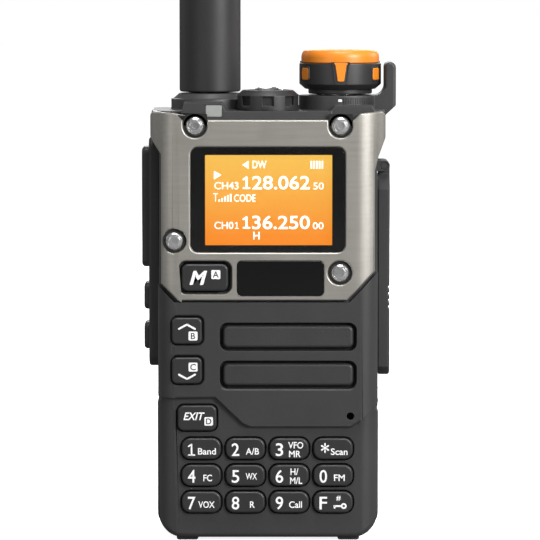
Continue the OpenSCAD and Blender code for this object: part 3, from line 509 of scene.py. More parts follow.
def edge_rub_and_highlight():
    """Rubbed edges and painted edge highlight: where the rounded normal leaves the true one, broken up by
    noise.
    """
    group, start, end = new_group("Edge rub and highlight", [("Width", 0.0003), ("Amount", 1.0)], ["Mask"])
    rounded = group.nodes.new("ShaderNodeBevel")
    rounded.samples = 4
    group.links.new(start.outputs["Width"], rounded.inputs["Radius"])
    true = group.nodes.new("ShaderNodeNewGeometry")
    dot = group.nodes.new("ShaderNodeVectorMath")
    dot.operation = "DOT_PRODUCT"
    group.links.new(rounded.outputs["Normal"], dot.inputs[0])
    group.links.new(true.outputs["Normal"], dot.inputs[1])
    lean = spread(group, dot.outputs["Value"], 0.995, 0.8, 0.0, 1.0)
    patchy = spread(group, noise(group, object_place(group), 900.0, 4.0, 0.65), 0.35, 0.75)
    mask = maths(group, "MULTIPLY", lean, patchy)
    group.links.new(maths(group, "MULTIPLY", mask, start.outputs["Amount"], True), end.inputs["Mask"])
    return group


def handling():
    """Faint smears and settled dust."""
    group, start, end = new_group("Handling marks", [("Smear", 120.0)], ["Smudge", "Dust"])
    place = object_place(group)
    stretch = group.nodes.new("ShaderNodeMapping")
    stretch.inputs["Rotation"].default_value = (0.3, 0.5, 0.7)
    stretch.inputs["Scale"].default_value = (1.0, 2.4, 0.7)
    group.links.new(place, stretch.inputs["Vector"])
    smear = noise(group, stretch.outputs["Vector"], start.outputs["Smear"], 5.0, 0.62)
    group.links.new(spread(group, smear, 0.3, 0.75), end.inputs["Smudge"])
    true = group.nodes.new("ShaderNodeNewGeometry")
    split = group.nodes.new("ShaderNodeSeparateXYZ")
    group.links.new(true.outputs["Normal"], split.inputs[0])
    upward = spread(group, split.outputs["Z"], 0.4, 1.0)
    specks = spread(group, noise(group, place, 2600.0, 3.0, 0.7), 0.55, 0.8)
    group.links.new(maths(group, "MULTIPLY", upward, specks), end.inputs["Dust"])
    return group


def metal_flake():
    """Bead-blasted metal: tiny sparkle, and a soft grain that runs across."""
    group, start, end = new_group(
        "Metal flake", [("Sparkle", 9000.0), ("Brush", 900.0)], ["Flake", "Grain"]
    )
    place = object_place(group)
    cells = group.nodes.new("ShaderNodeTexVoronoi")
    group.links.new(place, cells.inputs["Vector"])
    group.links.new(start.outputs["Sparkle"], cells.inputs["Scale"])
    split = group.nodes.new("ShaderNodeSeparateColor")
    group.links.new(cells.outputs["Color"], split.inputs[0])
    group.links.new(split.outputs[0], end.inputs["Flake"])
    stretch = group.nodes.new("ShaderNodeMapping")
    stretch.inputs["Scale"].default_value = (0.08, 1.0, 1.6)
    group.links.new(place, stretch.inputs["Vector"])
    group.links.new(noise(group, stretch.outputs["Vector"], start.outputs["Brush"], 3.0),
                    end.inputs["Grain"])
    return group


GROUPS = {}
FINISHES = {}


def placed(tree, name, **values):
    """Places a shader group in a material with its own values."""
    node = tree.nodes.new("ShaderNodeGroup")
    node.node_tree = GROUPS[name]
    for label, value in values.items():
        node.inputs[label].default_value = value
    return node.outputs


def tint(tree, mask, first, second):
    """Blends two colours by a mask; either may be a socket."""
    node = tree.nodes.new("ShaderNodeMix")
    node.data_type = "RGBA"
    tree.links.new(mask, node.inputs["Factor"])
    for label, value in (("A", first), ("B", second)):
        socket = [s for s in node.inputs if s.name == label and s.type == "RGBA"][0]
        if isinstance(value, bpy.types.NodeSocket):
            tree.links.new(value, socket)
        else:
            socket.default_value = (*value, 1)
    return [s for s in node.outputs if s.type == "RGBA"][0]


def shade(colour, factor):
    return tuple(min(1.0, part * factor) for part in colour)


def blank(name):
    """A new material's tree and its Principled shader."""
    material = bpy.data.materials.new(name)
    material.use_nodes = True
    shader = material.node_tree.nodes["Principled BSDF"]
    FINISHES[name] = material
    return material.node_tree, shader


def bumped(tree, shader, height, strength, distance):
    node = tree.nodes.new("ShaderNodeBump")
    node.inputs["Strength"].default_value = strength
    node.inputs["Distance"].default_value = distance
    tree.links.new(height, node.inputs["Height"])
    tree.links.new(node.outputs["Normal"], shader.inputs["Normal"])


def plastic(name, colour, rough, grain=5200.0, depth=0.5, rub_and_highlight=0.5, dust=0.25, specular=0.5,
            rub_and_highlight_tone=3.2):
    """Moulded plastic or rubber: pitted grain, edges lightened as rubbed wear and painted highlight, smears
    and dust.
    """
    tree, shader = blank(name)
    marks = placed(tree, "Handling marks", Smear=110.0)
    skin = placed(tree, "Moulded grain", Grain=grain, Patch=70.0)
    base = tint(tree, skin["Patches"], shade(colour, 0.82), shade(colour, 1.22))
    if rub_and_highlight > 0:
        # edges lightened by the mask: part rubbed wear, part painted highlight
        rub_and_highlight_mask = placed(tree, "Edge rub and highlight", Width=0.35 * MM, Amount=rub_and_highlight)
        base = tint(tree, rub_and_highlight_mask["Mask"], base, shade(colour, rub_and_highlight_tone))
    if dust > 0:
        settled = maths(tree, "MULTIPLY", marks["Dust"], dust)
        base = tint(tree, settled, base, (0.3, 0.29, 0.27))
    tree.links.new(base, shader.inputs["Base Color"])
    tree.links.new(spread(tree, marks["Smudge"], 0, 1, rough - 0.05, rough + 0.07),
                   shader.inputs["Roughness"])
    shader.inputs["Specular IOR Level"].default_value = specular
    bumped(tree, shader, skin["Height"], depth, 0.03 * MM)


def metal(name, colour, rough, metallic=1.0, sparkle=0.06, brush=0.25, depth=0.12):
    """Metal: flake, soft grain and smears."""
    tree, shader = blank(name)
    flake = placed(tree, "Metal flake", Sparkle=9000.0, Brush=900.0)
    marks = placed(tree, "Handling marks", Smear=90.0)
    base = tint(tree, flake["Grain"], shade(colour, 1 - brush / 2), shade(colour, 1 + brush / 2))
    glint = maths(tree, "MULTIPLY", flake["Flake"], sparkle)
    base = tint(tree, glint, base, shade(colour, 2.2))
    tree.links.new(base, shader.inputs["Base Color"])
    tree.links.new(spread(tree, marks["Smudge"], 0, 1, rough - 0.04, rough + 0.06),
                   shader.inputs["Roughness"])
    shader.inputs["Metallic"].default_value = metallic
    bumped(tree, shader, flake["Grain"], depth, 0.01 * MM)


def gloss(name, colour, rough=0.06):
    """Polished black or white plastic with faint wipe marks."""
    tree, shader = blank(name)
    marks = placed(tree, "Handling marks", Smear=160.0)
    skin = placed(tree, "Moulded grain", Grain=2500.0, Patch=40.0)
    base = tint(tree, skin["Patches"], shade(colour, 0.9), shade(colour, 1.1))
    tree.links.new(base, shader.inputs["Base Color"])
    tree.links.new(spread(tree, marks["Smudge"], 0, 1, rough, rough + 0.08),
                   shader.inputs["Roughness"])
    bumped(tree, shader, skin["Height"], 0.04, 0.01 * MM)


def clear(name):
    """Clear glass or acrylic."""
    tree, shader = blank(name)
    marks = placed(tree, "Handling marks", Smear=200.0)
    tree.links.new(spread(tree, marks["Smudge"], 0, 1, 0.01, 0.05), shader.inputs["Roughness"])
    shader.inputs["Base Color"].default_value = (0.97, 0.98, 0.98, 1)
    shader.inputs["Transmission Weight"].default_value = 1.0
    shader.inputs["IOR"].default_value = 1.46


def glowing(name, top, bottom, z_top, z_bottom, strength):
    """A lit screen: its colour runs from top to bottom, over faint pixel rows."""
    tree, shader = blank(name)
    split = tree.nodes.new("ShaderNodeSeparateXYZ")
    place = object_place(tree)
    tree.links.new(place, split.inputs[0])
    height = spread(tree, split.outputs["Z"], z_bottom, z_top)
    mottle = noise(tree, place, 45.0, 2.0)
    height = maths(tree, "ADD", height, maths(tree, "MULTIPLY", maths(tree, "SUBTRACT", mottle, 0.5), 0.12))
    glow = tint(tree, height, bottom, top)
    tree.links.new(glow, shader.inputs["Emission Color"])
    tree.links.new(tint(tree, height, shade(bottom, 0.1), shade(top, 0.1)), shader.inputs["Base Color"])
    shader.inputs["Emission Strength"].default_value = strength
    shader.inputs["Roughness"].default_value = 0.5


def printed(name, colour, glow=0.0):
    """Legend ink, slightly uneven, lit from behind on the screen."""
    tree, shader = blank(name)
    skin = placed(tree, "Moulded grain", Grain=4000.0, Patch=900.0)
    base = tint(tree, skin["Patches"], shade(colour, 0.93), shade(colour, 1.05))
    tree.links.new(base, shader.inputs["Base Color"])
    shader.inputs["Roughness"].default_value = 0.45
    if glow:
        tree.links.new(base, shader.inputs["Emission Color"])
        shader.inputs["Emission Strength"].default_value = glow
    bumped(tree, shader, skin["Height"], 0.1, 0.01 * MM)


def make_finishes():
    """Every finish of the radio, by name."""
    GROUPS["Moulded grain"] = moulded_grain()
    GROUPS["Edge rub and highlight"] = edge_rub_and_highlight()
    GROUPS["Handling marks"] = handling()
    GROUPS["Metal flake"] = metal_flake()
    tone = colours()
    shell = tuple(tone.shell)
    panel_low, panel_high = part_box("display_panel")
    plastic("Casing black", shell, 0.52)
    # the top housing's black, 1.3 times lighter as painted light from the top lamp
    plastic("Deck black", shade(shell, 1.3), 0.46, grain=4200.0, depth=0.35)
    plastic("Trim black", shade(shell, 0.8), 0.44, grain=4200.0, depth=0.35)
    plastic("Pack black", shade(shell, 0.9), 0.55, grain=3600.0, depth=0.7)
    plastic("Key black", tuple(tone.keys), 0.4, grain=6500.0, depth=0.25, dust=0.1)
    plastic("Antenna rubber", (0.019, 0.019, 0.0195), 0.5, grain=3800.0, depth=0.35, rub_and_highlight=0.2)
    plastic("Cover rubber", (0.028, 0.028, 0.028), 0.66, grain=3000.0, depth=0.6)
    plastic("Grille black", (0.03, 0.03, 0.031), 0.46, grain=2600.0, depth=0.9, rub_and_highlight=0.9)
    # near-black painted shade, for opening walls, key sides and flanges, screw seats, the speaker baffle and
    # the microphone hole
    plastic("Grille back", (0.006, 0.006, 0.006), 0.8, rub_and_highlight=0.0, dust=0.0)
    plastic("Knob orange", tuple(tone.accent), 0.36, grain=6000.0, depth=0.12, rub_and_highlight=0.15,
            dust=0.12, rub_and_highlight_tone=1.3)
    plastic("Mat rubber", (0.2, 0.2, 0.2), 0.7, rub_and_highlight=0.0)
    plastic("Board green", (0.012, 0.09, 0.03), 0.45, rub_and_highlight=0.0, dust=0.0)
    plastic("Lamp grey", (0.3, 0.31, 0.3), 0.34, grain=3500.0, depth=0.15, rub_and_highlight=0.2, rub_and_highlight_tone=1.6)
    plastic("Phosphor yellow", (0.9, 0.62, 0.05), 0.4, rub_and_highlight=0.0, dust=0.0)
    plastic("Cell wrap", (0.05, 0.2, 0.42), 0.35, rub_and_highlight=0.0, dust=0.0)
    metal("Plate metal", tuple(tone.plate), 0.42, metallic=0.75)
    metal("Cut rim", (0.92, 0.9, 0.87), 0.3, sparkle=0.02, brush=0.1, depth=0.05)
    metal("Screw chrome", (0.8, 0.8, 0.8), 0.27, sparkle=0.0, brush=0.1, depth=0.05)
    metal("Plain steel", (0.55, 0.55, 0.55), 0.3)
    metal("Black nickel", (0.04, 0.04, 0.04), 0.35)
    metal("Mirror chrome", (0.93, 0.93, 0.94), 0.05, sparkle=0.0, brush=0.04, depth=0.02)
    metal("Contact gold", (0.86, 0.62, 0.24), 0.24, sparkle=0.0, brush=0.1)
    metal("Spring steel", (0.6, 0.6, 0.62), 0.25)
    metal("Speaker metal", (0.25, 0.25, 0.26), 0.4)
    gloss("Badge gloss", (0.004, 0.004, 0.004), 0.05)
    gloss("Window mask", (0.003, 0.003, 0.0035), 0.08)
    gloss("Milky diffuser", (0.75, 0.75, 0.74), 0.3)
    clear("Window glass")
    clear("Lens clear")
    glowing("Screen amber", tuple(tone.glow_top), tuple(tone.glow_bottom),
            panel_high.z + 2 * MM, panel_low.z + 3 * MM, 1.0)
    printed("Legend white", tuple(tone.legend))
    printed("Screen white", (1.0, 0.98, 0.93), 0.95)


def dress(piece, body, nodes, finish, smooth=SMOOTH_ANGLE):
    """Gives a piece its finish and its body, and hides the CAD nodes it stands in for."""
    finishes = finish if isinstance(finish, (list, tuple)) else [finish]
    piece.data.materials.clear()
    for name in finishes:
        piece.data.materials.append(FINISHES[name])
    only(piece)
    bpy.ops.object.shade_smooth_by_angle(angle=smooth)
    even = piece.modifiers.new("even", "WEIGHTED_NORMAL")
    even.weight = 100
    even.keep_sharp = True
    bpy.ops.object.modifier_apply(modifier=even.name)
    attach(piece, body)
    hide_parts(*nodes)
    return piece


def finish_node(node, finish):
    """Gives a CAD node that stays as it is its finish."""
    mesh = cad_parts[node].data
    if not mesh.materials:
        mesh.materials.append(FINISHES[finish])
    for slot in range(len(mesh.materials)):
        mesh.materials[slot] = FINISHES[finish]


# ------------------------------------------------------------------ stage


def build_stage():
    """Floor, world, lights and camera."""
    bpy.ops.object.select_all(action="DESELECT")
    bpy.ops.mesh.primitive_plane_add(size=12)
    floor = bpy.context.view_layer.objects.active
    floor.name = "studio_floor"
    tree, shader = blank("Studio floor")
    patches = noise(tree, object_place(tree), 3.0, 2.0)
    seen = tree.nodes.new("ShaderNodeLightPath").outputs["Is Camera Ray"]
    pale = tint(tree, patches, (0.86, 0.86, 0.86), (0.9, 0.9, 0.9))
    tree.links.new(tint(tree, seen, (0.16, 0.16, 0.16), pale), shader.inputs["Base Color"])
    shader.inputs["Roughness"].default_value = 0.75
    shader.inputs["Emission Color"].default_value = (1, 1, 1, 1)
    tree.links.new(spread(tree, seen, 0, 1, 0.04, 0.86), shader.inputs["Emission Strength"])
    floor.data.materials.append(FINISHES["Studio floor"])

    scene = bpy.context.scene
    scene.view_settings.view_transform = "Standard"
    world = bpy.data.worlds.new("Studio")
    scene.world = world
    world.use_nodes = True
    tree = world.node_tree
    tree.nodes.clear()
    seen = tree.nodes.new("ShaderNodeBackground")
    seen.inputs["Strength"].default_value = 1.0
    soft = tree.nodes.new("ShaderNodeBackground")
    soft.inputs["Strength"].default_value = 0.2
    for shader in (seen, soft):
        shader.inputs["Color"].default_value = (1, 1, 1, 1)
    path = tree.nodes.new("ShaderNodeLightPath")
    mix = tree.nodes.new("ShaderNodeMixShader")
    tree.links.new(path.outputs["Is Camera Ray"], mix.inputs["Fac"])
    tree.links.new(soft.outputs[0], mix.inputs[1])
    tree.links.new(seen.outputs[0], mix.inputs[2])
    output = tree.nodes.new("ShaderNodeOutputWorld")
    tree.links.new(mix.outputs[0], output.inputs["Surface"])

    centre = (cad_low + cad_high) / 2
    aim = Vector((0, centre.y, 0.08))
    for name, place, size, power in (
        ("key_light", (0.4, -0.45, 0.3), 0.3, 4.2),
        ("fill_light", (-0.7, -1.0, 0.3), 0.5, 1.3),
        ("top_light", (0.05, -0.3, 1.1), 0.6, 9.0),
        ("left_rim", (-0.75, 0.35, 0.4), 0.4, 0.9),
        ("right_rim", (0.75, 0.4, 0.35), 0.4, 1.6),
        ("back_light", (0.1, 1.0, 0.5), 0.7, 4.0),
    ):
        bpy.ops.object.light_add(type="AREA", location=place)
        lamp = bpy.context.view_layer.objects.active
        lamp.name = name
        lamp.data.shape = "DISK"
        lamp.data.size = size
        lamp.data.energy = power
        lamp.rotation_euler = (aim - Vector(place)).to_track_quat("-Z", "Y").to_euler()

    plate_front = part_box("face_plate")[0].y
    target = Vector((0.5 * MM, plate_front, 65.2 * MM))
    lift = math.radians(4.5)
    distance = 0.9
    away = Vector((0, -math.cos(lift), math.sin(lift)))
    bpy.ops.object.camera_add(location=target + away * distance)
    camera = bpy.context.view_layer.objects.active
    camera.name = "camera"
    camera.rotation_euler = (-away).to_track_quat("-Z", "Y").to_euler()
    camera.data.lens = 252
    camera.data.sensor_width = 36
    camera.data.clip_start = 0.01
    scene.camera = camera


# ------------------------------------------------------------------ casing


def build_casing():
    """Front casing with its rounded bottom edge."""
    piece = copy_of("front_casing", "front_casing_shell")
    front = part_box("key_1")[0].y + 1.1 * MM
    bottom_low = 0.6 * MM
    bottom_high = 0.75 * MM
    corner = Vector((20.3 * MM, 0, 6.9 * MM))
    corner_reach = 5.2 * MM
    foot_side = 22.2 * MM
    inside_x = 23.9 * MM
    inside_low = 3 * MM
    inside_high = 68 * MM

    def bottom(point):
        on_foot = abs(point.x) < foot_side and point.y > front + 1 * MM
        if on_foot or point.y > front + 4.6 * MM:
            return False
        if bottom_low < point.z < bottom_high:
            return point.y < front + 0.1 * MM or abs(point.x) > corner.x
        away = Vector((abs(point.x) - corner.x, point.z - corner.z))
        return away.x > 0 and away.y < 0 and away.length > corner_reach

    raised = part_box("speaker_grille")[0].y - 0.35 * MM
    arrow_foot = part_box("key_down")[0].z - 0.2 * MM
    mic_low, mic_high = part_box("microphone")
    mic = (mic_low + mic_high) / 2

    def step_edge(point):
        clear_of_mic = math.hypot(point.x - mic.x, point.z - mic.z) > 1.6 * MM
        return at_front(raised)(point) and point.z < arrow_foot and clear_of_mic

    def opening_wall(face):
        spot = face.calc_center_median()
        inner = abs(spot.x) < inside_x and inside_low < spot.z < inside_high
        return inner and abs(face.normal.y) < 0.25 and raised - 0.1 * MM < spot.y < front + 2.2 * MM

    def lip_of(node, level):
        key_low, key_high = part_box(node)
        reach = 0.1 * MM
        return lambda point: (at_front(level)(point) and key_low.x - reach < point.x < key_high.x + reach
                              and key_low.z - reach < point.z < key_high.z + reach)

    soften(piece, sizes().foot_round, bottom, steps=4)
    # the rounded lips of the arrow keys' openings take the painted shade black
    for node in ("key_up", "key_down"):
        soften(piece, 0.42 * MM, lip_of(node, raised), steps=3, paint=1)
    soften(piece, 0.5 * MM, step_edge, steps=4, sharp=math.radians(60))
    soften(piece, sizes().edge_round, lambda p: p.y < -8 * MM or abs(p.x) > 23.6 * MM)
    # the inner walls of the openings take painted shade
    shadow(piece, opening_wall)
    dress(piece, "radio", ["front_casing"], ["Casing black", "Grille back"])


def build_face_plate():
    """Metal face plate with its bright cut rim."""
    low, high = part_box("face_plate")
    badge_low, badge_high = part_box("badge_plate")
    piece = copy_of("face_plate", "face_plate_metal")
    radius = 7 * MM
    centre_y = low.y + radius
    centre_x = high.x - radius

    def outside(point):
        side = abs(point.x) - centre_x
        if side <= 0:
            return point.y < low.y + 0.02 * MM
        return math.hypot(side, min(point.y - centre_y, 0)) > radius - 0.12 * MM

    def near_badge(point):
        gap = 0.3 * MM
        inside_x = badge_low.x - gap < point.x < badge_high.x + gap
        return inside_x and badge_low.z - gap < point.z < badge_high.z + gap

    def narrow(point):
        on_bend = abs(point.x) > centre_x - 0.3 * MM and point.z > low.z + 0.4 * MM
        return near_badge(point) or (on_bend and abs(point.x) < centre_x + 1.2 * MM and point.x < 0)

    soften(piece, 0.16 * MM, lambda p: outside(p) and narrow(p), steps=2, paint=1)
    soften(piece, sizes().plate_rim, lambda p: outside(p) and not narrow(p), steps=3, paint=1)
    dress(piece, "radio", ["face_plate"], ["Plate metal", "Cut rim"])


def screw_seat(centre, front, plate_top):
    """Near-black seat round a screw, painted shade in its pocket; the seats of the two ears run up to the
    plate's top.
    """
    y = front + 0.75 * MM
    inner = 2.3 * MM
    outer = 2.84 * MM
    depth = 0.3 * MM
    profile = [(inner, 0), (outer, 0), (outer, -depth), (inner, -depth), (inner, 0)]
    seat = lathe("seat", profile, Vector((centre.x, y, centre.z)), FRONT, 40)
    if plate_top - centre.z > 8 * MM:
        return seat
    points = [(centre.x - outer, plate_top - 0.6 * MM), (centre.x - outer, centre.z)]
    for step in range(13):
        turn = math.pi * step / 12
        points.append((centre.x - inner * math.cos(turn), centre.z + inner * math.sin(turn)))
    points += [(centre.x + outer, centre.z), (centre.x + outer, plate_top - 0.6 * MM)]
    return join([seat, shape("seat", points, y, depth)], "seat")


def build_plate_screws():
    """Four domed screws, each with a ring groove and a socket, in near-black seats of painted shade."""
    plate_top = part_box("face_plate")[1].z
    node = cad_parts["plate_screws"]
    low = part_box("plate_screws")[0]
    heads = [v.co for v in node.data.vertices if v.co.y < low.y + 0.02 * MM]
    places = []
    for point in heads:
        if not any((place - point).length < 4 * MM for place in places):
            places.append(point.copy())
    centres = []
    for place in places:
        near = [p for p in heads if (p - place).length < 4 * MM]
        centres.append(sum(near, Vector()) / len(near))
    dome = 1.25
    profile = [
        (0, -0.35), (0.72, -0.35), (0.75, 0.0), (0.95, 0.03), (1.28, -0.05), (1.34, -0.2),
        (1.5, -0.22), (1.58, -0.1), (1.9, -0.32), (2.14, -0.62), (2.25, -0.95), (2.2, -dome),
        (1.0, -dome), (0.98, -5.6), (0.6, -6.0), (0, -6.0),
    ]
    first = None
    for number, centre in enumerate(sorted(centres, key=lambda p: (p.z, p.x)), 1):
        name = f"plate_screw_{number}"
        if first is None:
            start = Vector((centre.x, low.y + 0.03 * MM, centre.z))
            points = [(r * MM, h * MM) for r, h in profile]
            screw = lathe(name, points, start, FRONT, 40)
            first = (screw, start)
        else:
            move = Vector((centre.x - first[1].x, 0, centre.z - first[1].z))
            screw = twin(first[0], name, move)
        dress(screw, "radio", ["plate_screws"], "Screw chrome")
        seat = screw_seat(centre, low.y, plate_top)
        seat.name = f"plate_screw_seat_{number}"
        # the seat is painted shade
        dress(seat, "radio", ["plate_screws"], "Grille back")


def build_badge():
    """Blank gloss badge plate."""
    low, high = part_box("badge_plate")
    middle = (low + high) / 2
    middle.y = low.y
    piece = slab("badge_gloss", middle, high.x - low.x, high.z - low.z, high.y - low.y, 1.2 * MM, 6)
    soften(piece, 0.14 * MM, at_front(low.y), steps=3)
    dress(piece, "radio", ["badge_plate"], "Badge gloss")


# ------------------------------------------------------------------ display


def build_display():
    """Clear window, its black mask, and the lit screen behind."""
    low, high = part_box("display_window")
    middle = (low + high) / 2
    front = Vector((middle.x, low.y, middle.z))
    width = high.x - low.x
    height = high.z - low.z
    glass_t = 0.6 * MM
    glass = slab("display_glass", front, width, height, glass_t, 1.85 * MM, 6)
    soften(glass, 0.18 * MM, at_front(low.y), steps=3)
    dress(glass, "radio", ["display_window"], "Window glass")

    screen = (middle.x - 14.95 * MM, middle.z - 10.85 * MM, middle.x + 15.3 * MM, middle.z + 10.65 * MM)
    mask = trim("display_mask", (low.x, low.z, high.x, high.z), 1.85 * MM, screen, 0.15 * MM,
                low.y + glass_t + 0.02 * MM, high.y - low.y - glass_t - 0.04 * MM)
    dress(mask, "radio", ["display_window"], "Window mask")

    low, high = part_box("display_panel")
    middle = (low + high) / 2
    piece = slab("display_screen", Vector((middle.x, low.y, middle.z)), high.x - low.x, high.z - low.z,
                 high.y - low.y, 0.4 * MM, 3)
    dress(piece, "radio", ["display_panel"], "Screen amber")


def build_readout():
    """Digits and symbols on the screen."""
    low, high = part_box("display_window")
    middle = (low + high) / 2
    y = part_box("display_panel")[0].y - sizes().legend_relief
    relief = 2 * sizes().legend_relief
    parts = []

    def write(words, left, base, height, width, weight=0.0):
        parts.append(letters(words, height * MM, middle.x + left * MM, middle.z + base * MM, y,
                             width * MM, weight))

    write("DW", -3.7, 7.4, 1.75, 3.4, 0.00005)
    write("CH43", -12.8, 2.4, 1.65, 5.8, 0.00003)
    write("28.062", -3.75, 2.4, 3.05, 13.75, 0.00006)
    write("50", 10.8, 2.35, 1.6, 2.55, 0.00003)
    write("CODE", -8.1, -0.6, 1.7, 5.2, 0.00003)
    write("CH0", -12.8, -7.1, 1.65, 4.55, 0.00003)
    write("36.250", -3.75, -7.1, 3.05, 13.75, 0.00006)
    for left, base, height in ((-5.1, 2.4, 3.05), (-5.1, -7.1, 3.05), (-7.4, -7.1, 1.65)):
        bold = 0.16 if height > 2 else 0.13
        parts.append(numeral_one(middle.x + left * MM, middle.z + base * MM, height * MM, y, relief, bold))
    write("00", 10.7, -7.15, 1.6, 2.6, 0.00003)
    write("H", -3.5, -9.6, 1.75, 1.55, 0.00005)
    parts.append(pointer(middle.x - 5.35 * MM, middle.z + 8.2 * MM, 1.5 * MM, 2.0 * MM, y, relief, -1))
    parts.append(pointer(middle.x - 12.0 * MM, middle.z + 5.75 * MM, 1.8 * MM, 2.1 * MM, y, relief, 1))
    bars = 5
    for step in range(bars):
        x = middle.x + (10.35 + step * 0.66) * MM
        parts.append(slab("bar", Vector((x, y, middle.z + 8.2 * MM)), 0.42 * MM, 1.9 * MM, relief, 0))
        tall = (0.55 + 0.33 * step) * MM
        x = middle.x - (11.6 - step * 0.68) * MM
        parts.append(slab("bar", Vector((x, y, middle.z - 0.6 * MM + tall / 2)), 0.38 * MM, tall, relief, 0))
    base = (middle.x - 12.5 * MM, middle.z + 1.3 * MM)
    parts.append(stroke([(base[0] - 0.5 * MM, base[1]), (base[0] + 0.5 * MM, base[1])], 0.22 * MM, y, relief))
    parts.append(stroke([(base[0], base[1]), (base[0], base[1] - 1.8 * MM)], 0.22 * MM, y, relief))
    piece = join(parts, "display_readout")
    dress(piece, "radio", ["display_panel"], "Screen white")


# ------------------------------------------------------------------ speaker grille


def build_grille():
    """Two chamfered bars in the speaker slots, over a near-black plate of painted shade."""
    low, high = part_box("speaker_grille")
    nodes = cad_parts["speaker_grille"].data.vertices
    faces = [v.co for v in nodes if v.co.y < low.y + 0.02 * MM]
    split = (min(p.z for p in faces) + max(p.z for p in faces)) / 2
    bars = []
    for side in (-1, 1):
        group = [p for p in faces if (p.z - split) * side > 0]
        x0 = min(p.x for p in group)
        x1 = max(p.x for p in group)
        z0 = min(p.z for p in group)
        z1 = max(p.z for p in group)
        middle = Vector(((x0 + x1) / 2, low.y, (z0 + z1) / 2))
        bar = slab("bar", middle, x1 - x0, z1 - z0, 1.45 * MM, 1.3 * MM, 5)
        bars.append(bar)
    piece = join(bars, "speaker_bars")
    soften(piece, 0.8 * MM, at_front(low.y), steps=4)
    soften(piece, 0.08 * MM, lambda p: p.y < low.y + 0.7 * MM, steps=1, sharp=math.radians(20))
    dress(piece, "radio", ["speaker_grille"], "Grille black")
    # the baffle behind the bars is painted shade in the slots
    back = Vector(((low.x + high.x) / 2, high.y - 0.5 * MM, (low.z + high.z) / 2))
    plate = slab("speaker_baffle", back, high.x - low.x, high.z - low.z, 0.5 * MM, 0.6 * MM, 3)
    soften(plate, 0.1 * MM, at_front(back.y), steps=2)
    dress(plate, "radio", ["speaker_grille"], "Grille back")


# ------------------------------------------------------------------ keys

LEGENDS = {
    "key_1": ("1", [("Band", -0.83, -1.32, 4.3)]),
    "key_2": ("2", [("A/B", 0.1, -1.32, 3.2)]),
    "key_3": ("3", [("VFO", -0.25, 0.15, 3.6), ("MR", -0.05, -1.95, 2.8)]),
    "key_star": ("*", [("Scan", -0.55, -1.4, 4.0)]),
    "key_4": ("4", [("FC", 0.45, -1.3, 2.1)]),
    "key_5": ("5", [("WX", 0.1, -0.9, 2.7)]),
    "key_6": ("6", [("H/", 0.3, 0.2, 1.9), ("M/L", 0.2, -1.95, 2.9)]),
    "key_0": ("0", [("FM", 0.2, -1.25, 2.6)]),
    "key_7": ("7", [("VOX", -0.75, -1.3, 3.9)]),
    "key_8": ("8", [("R", 1.1, -1.3, 1.15)]),
    "key_9": ("9", [("Call", -0.05, -1.3, 3.1)]),
    "key_func": ("F", [("#", 0.75, 0.55, 1.1)]),
}


def key_cap(node, name, radius):
    """A key cap with rounded rim and hidden flange, a touch under the CAD's front; its sides and flange take
    painted shade.
    """
    low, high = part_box(node)
    sunk = 2 * sizes().legend_relief
    width = high.x - low.x - 2 * FLANGE
    height = high.z - low.z - 2 * FLANGE
    middle = Vector(((low.x + high.x) / 2, low.y + sunk, (low.z + high.z) / 2))
    flange_t = 0.8 * MM
    piece = slab(name, middle, width, height, high.y - flange_t - middle.y, radius, 6)
    back = high.y - flange_t
    pick(piece, lambda f: f.normal.y > 0.9, "FACE")
    bpy.ops.mesh.extrude_region_move(TRANSFORM_OT_translate={"value": (0, 0, 0)})
    spot = (middle.x, back, middle.z)
    wide = ((width + 2 * FLANGE) / width, 1, (height + 2 * FLANGE) / height)
    bpy.ops.transform.resize(value=wide, center_override=spot)
    bpy.ops.mesh.extrude_region_move(TRANSFORM_OT_translate={"value": (0, flange_t, 0)})
    close()
    mend(piece)
    soften(piece, sizes().key_round, at_front(middle.y), steps=5)
    # the key's sides and flange take painted shade
    shadow(piece, lambda face: abs(face.normal.y) < 0.35 or face.calc_center_median().y > middle.y + MM)
    return piece, middle


def boxed(letter, x, z, y, side):
    """A small white square with a letter cut into it."""
    relief = sizes().legend_relief
    square = slab("square", Vector((x, y - relief, z)), side, side, relief * 2, side * 0.14, 4)
    mark = letters(letter, side * 0.66, x, z - side * 0.33, y - relief, None, 0.00002, 0, "MIDDLE")
    return square, mark


def legend_done(parts, node, name):
    piece = join(parts, name)
    dress(piece, node, [node], "Legend white")


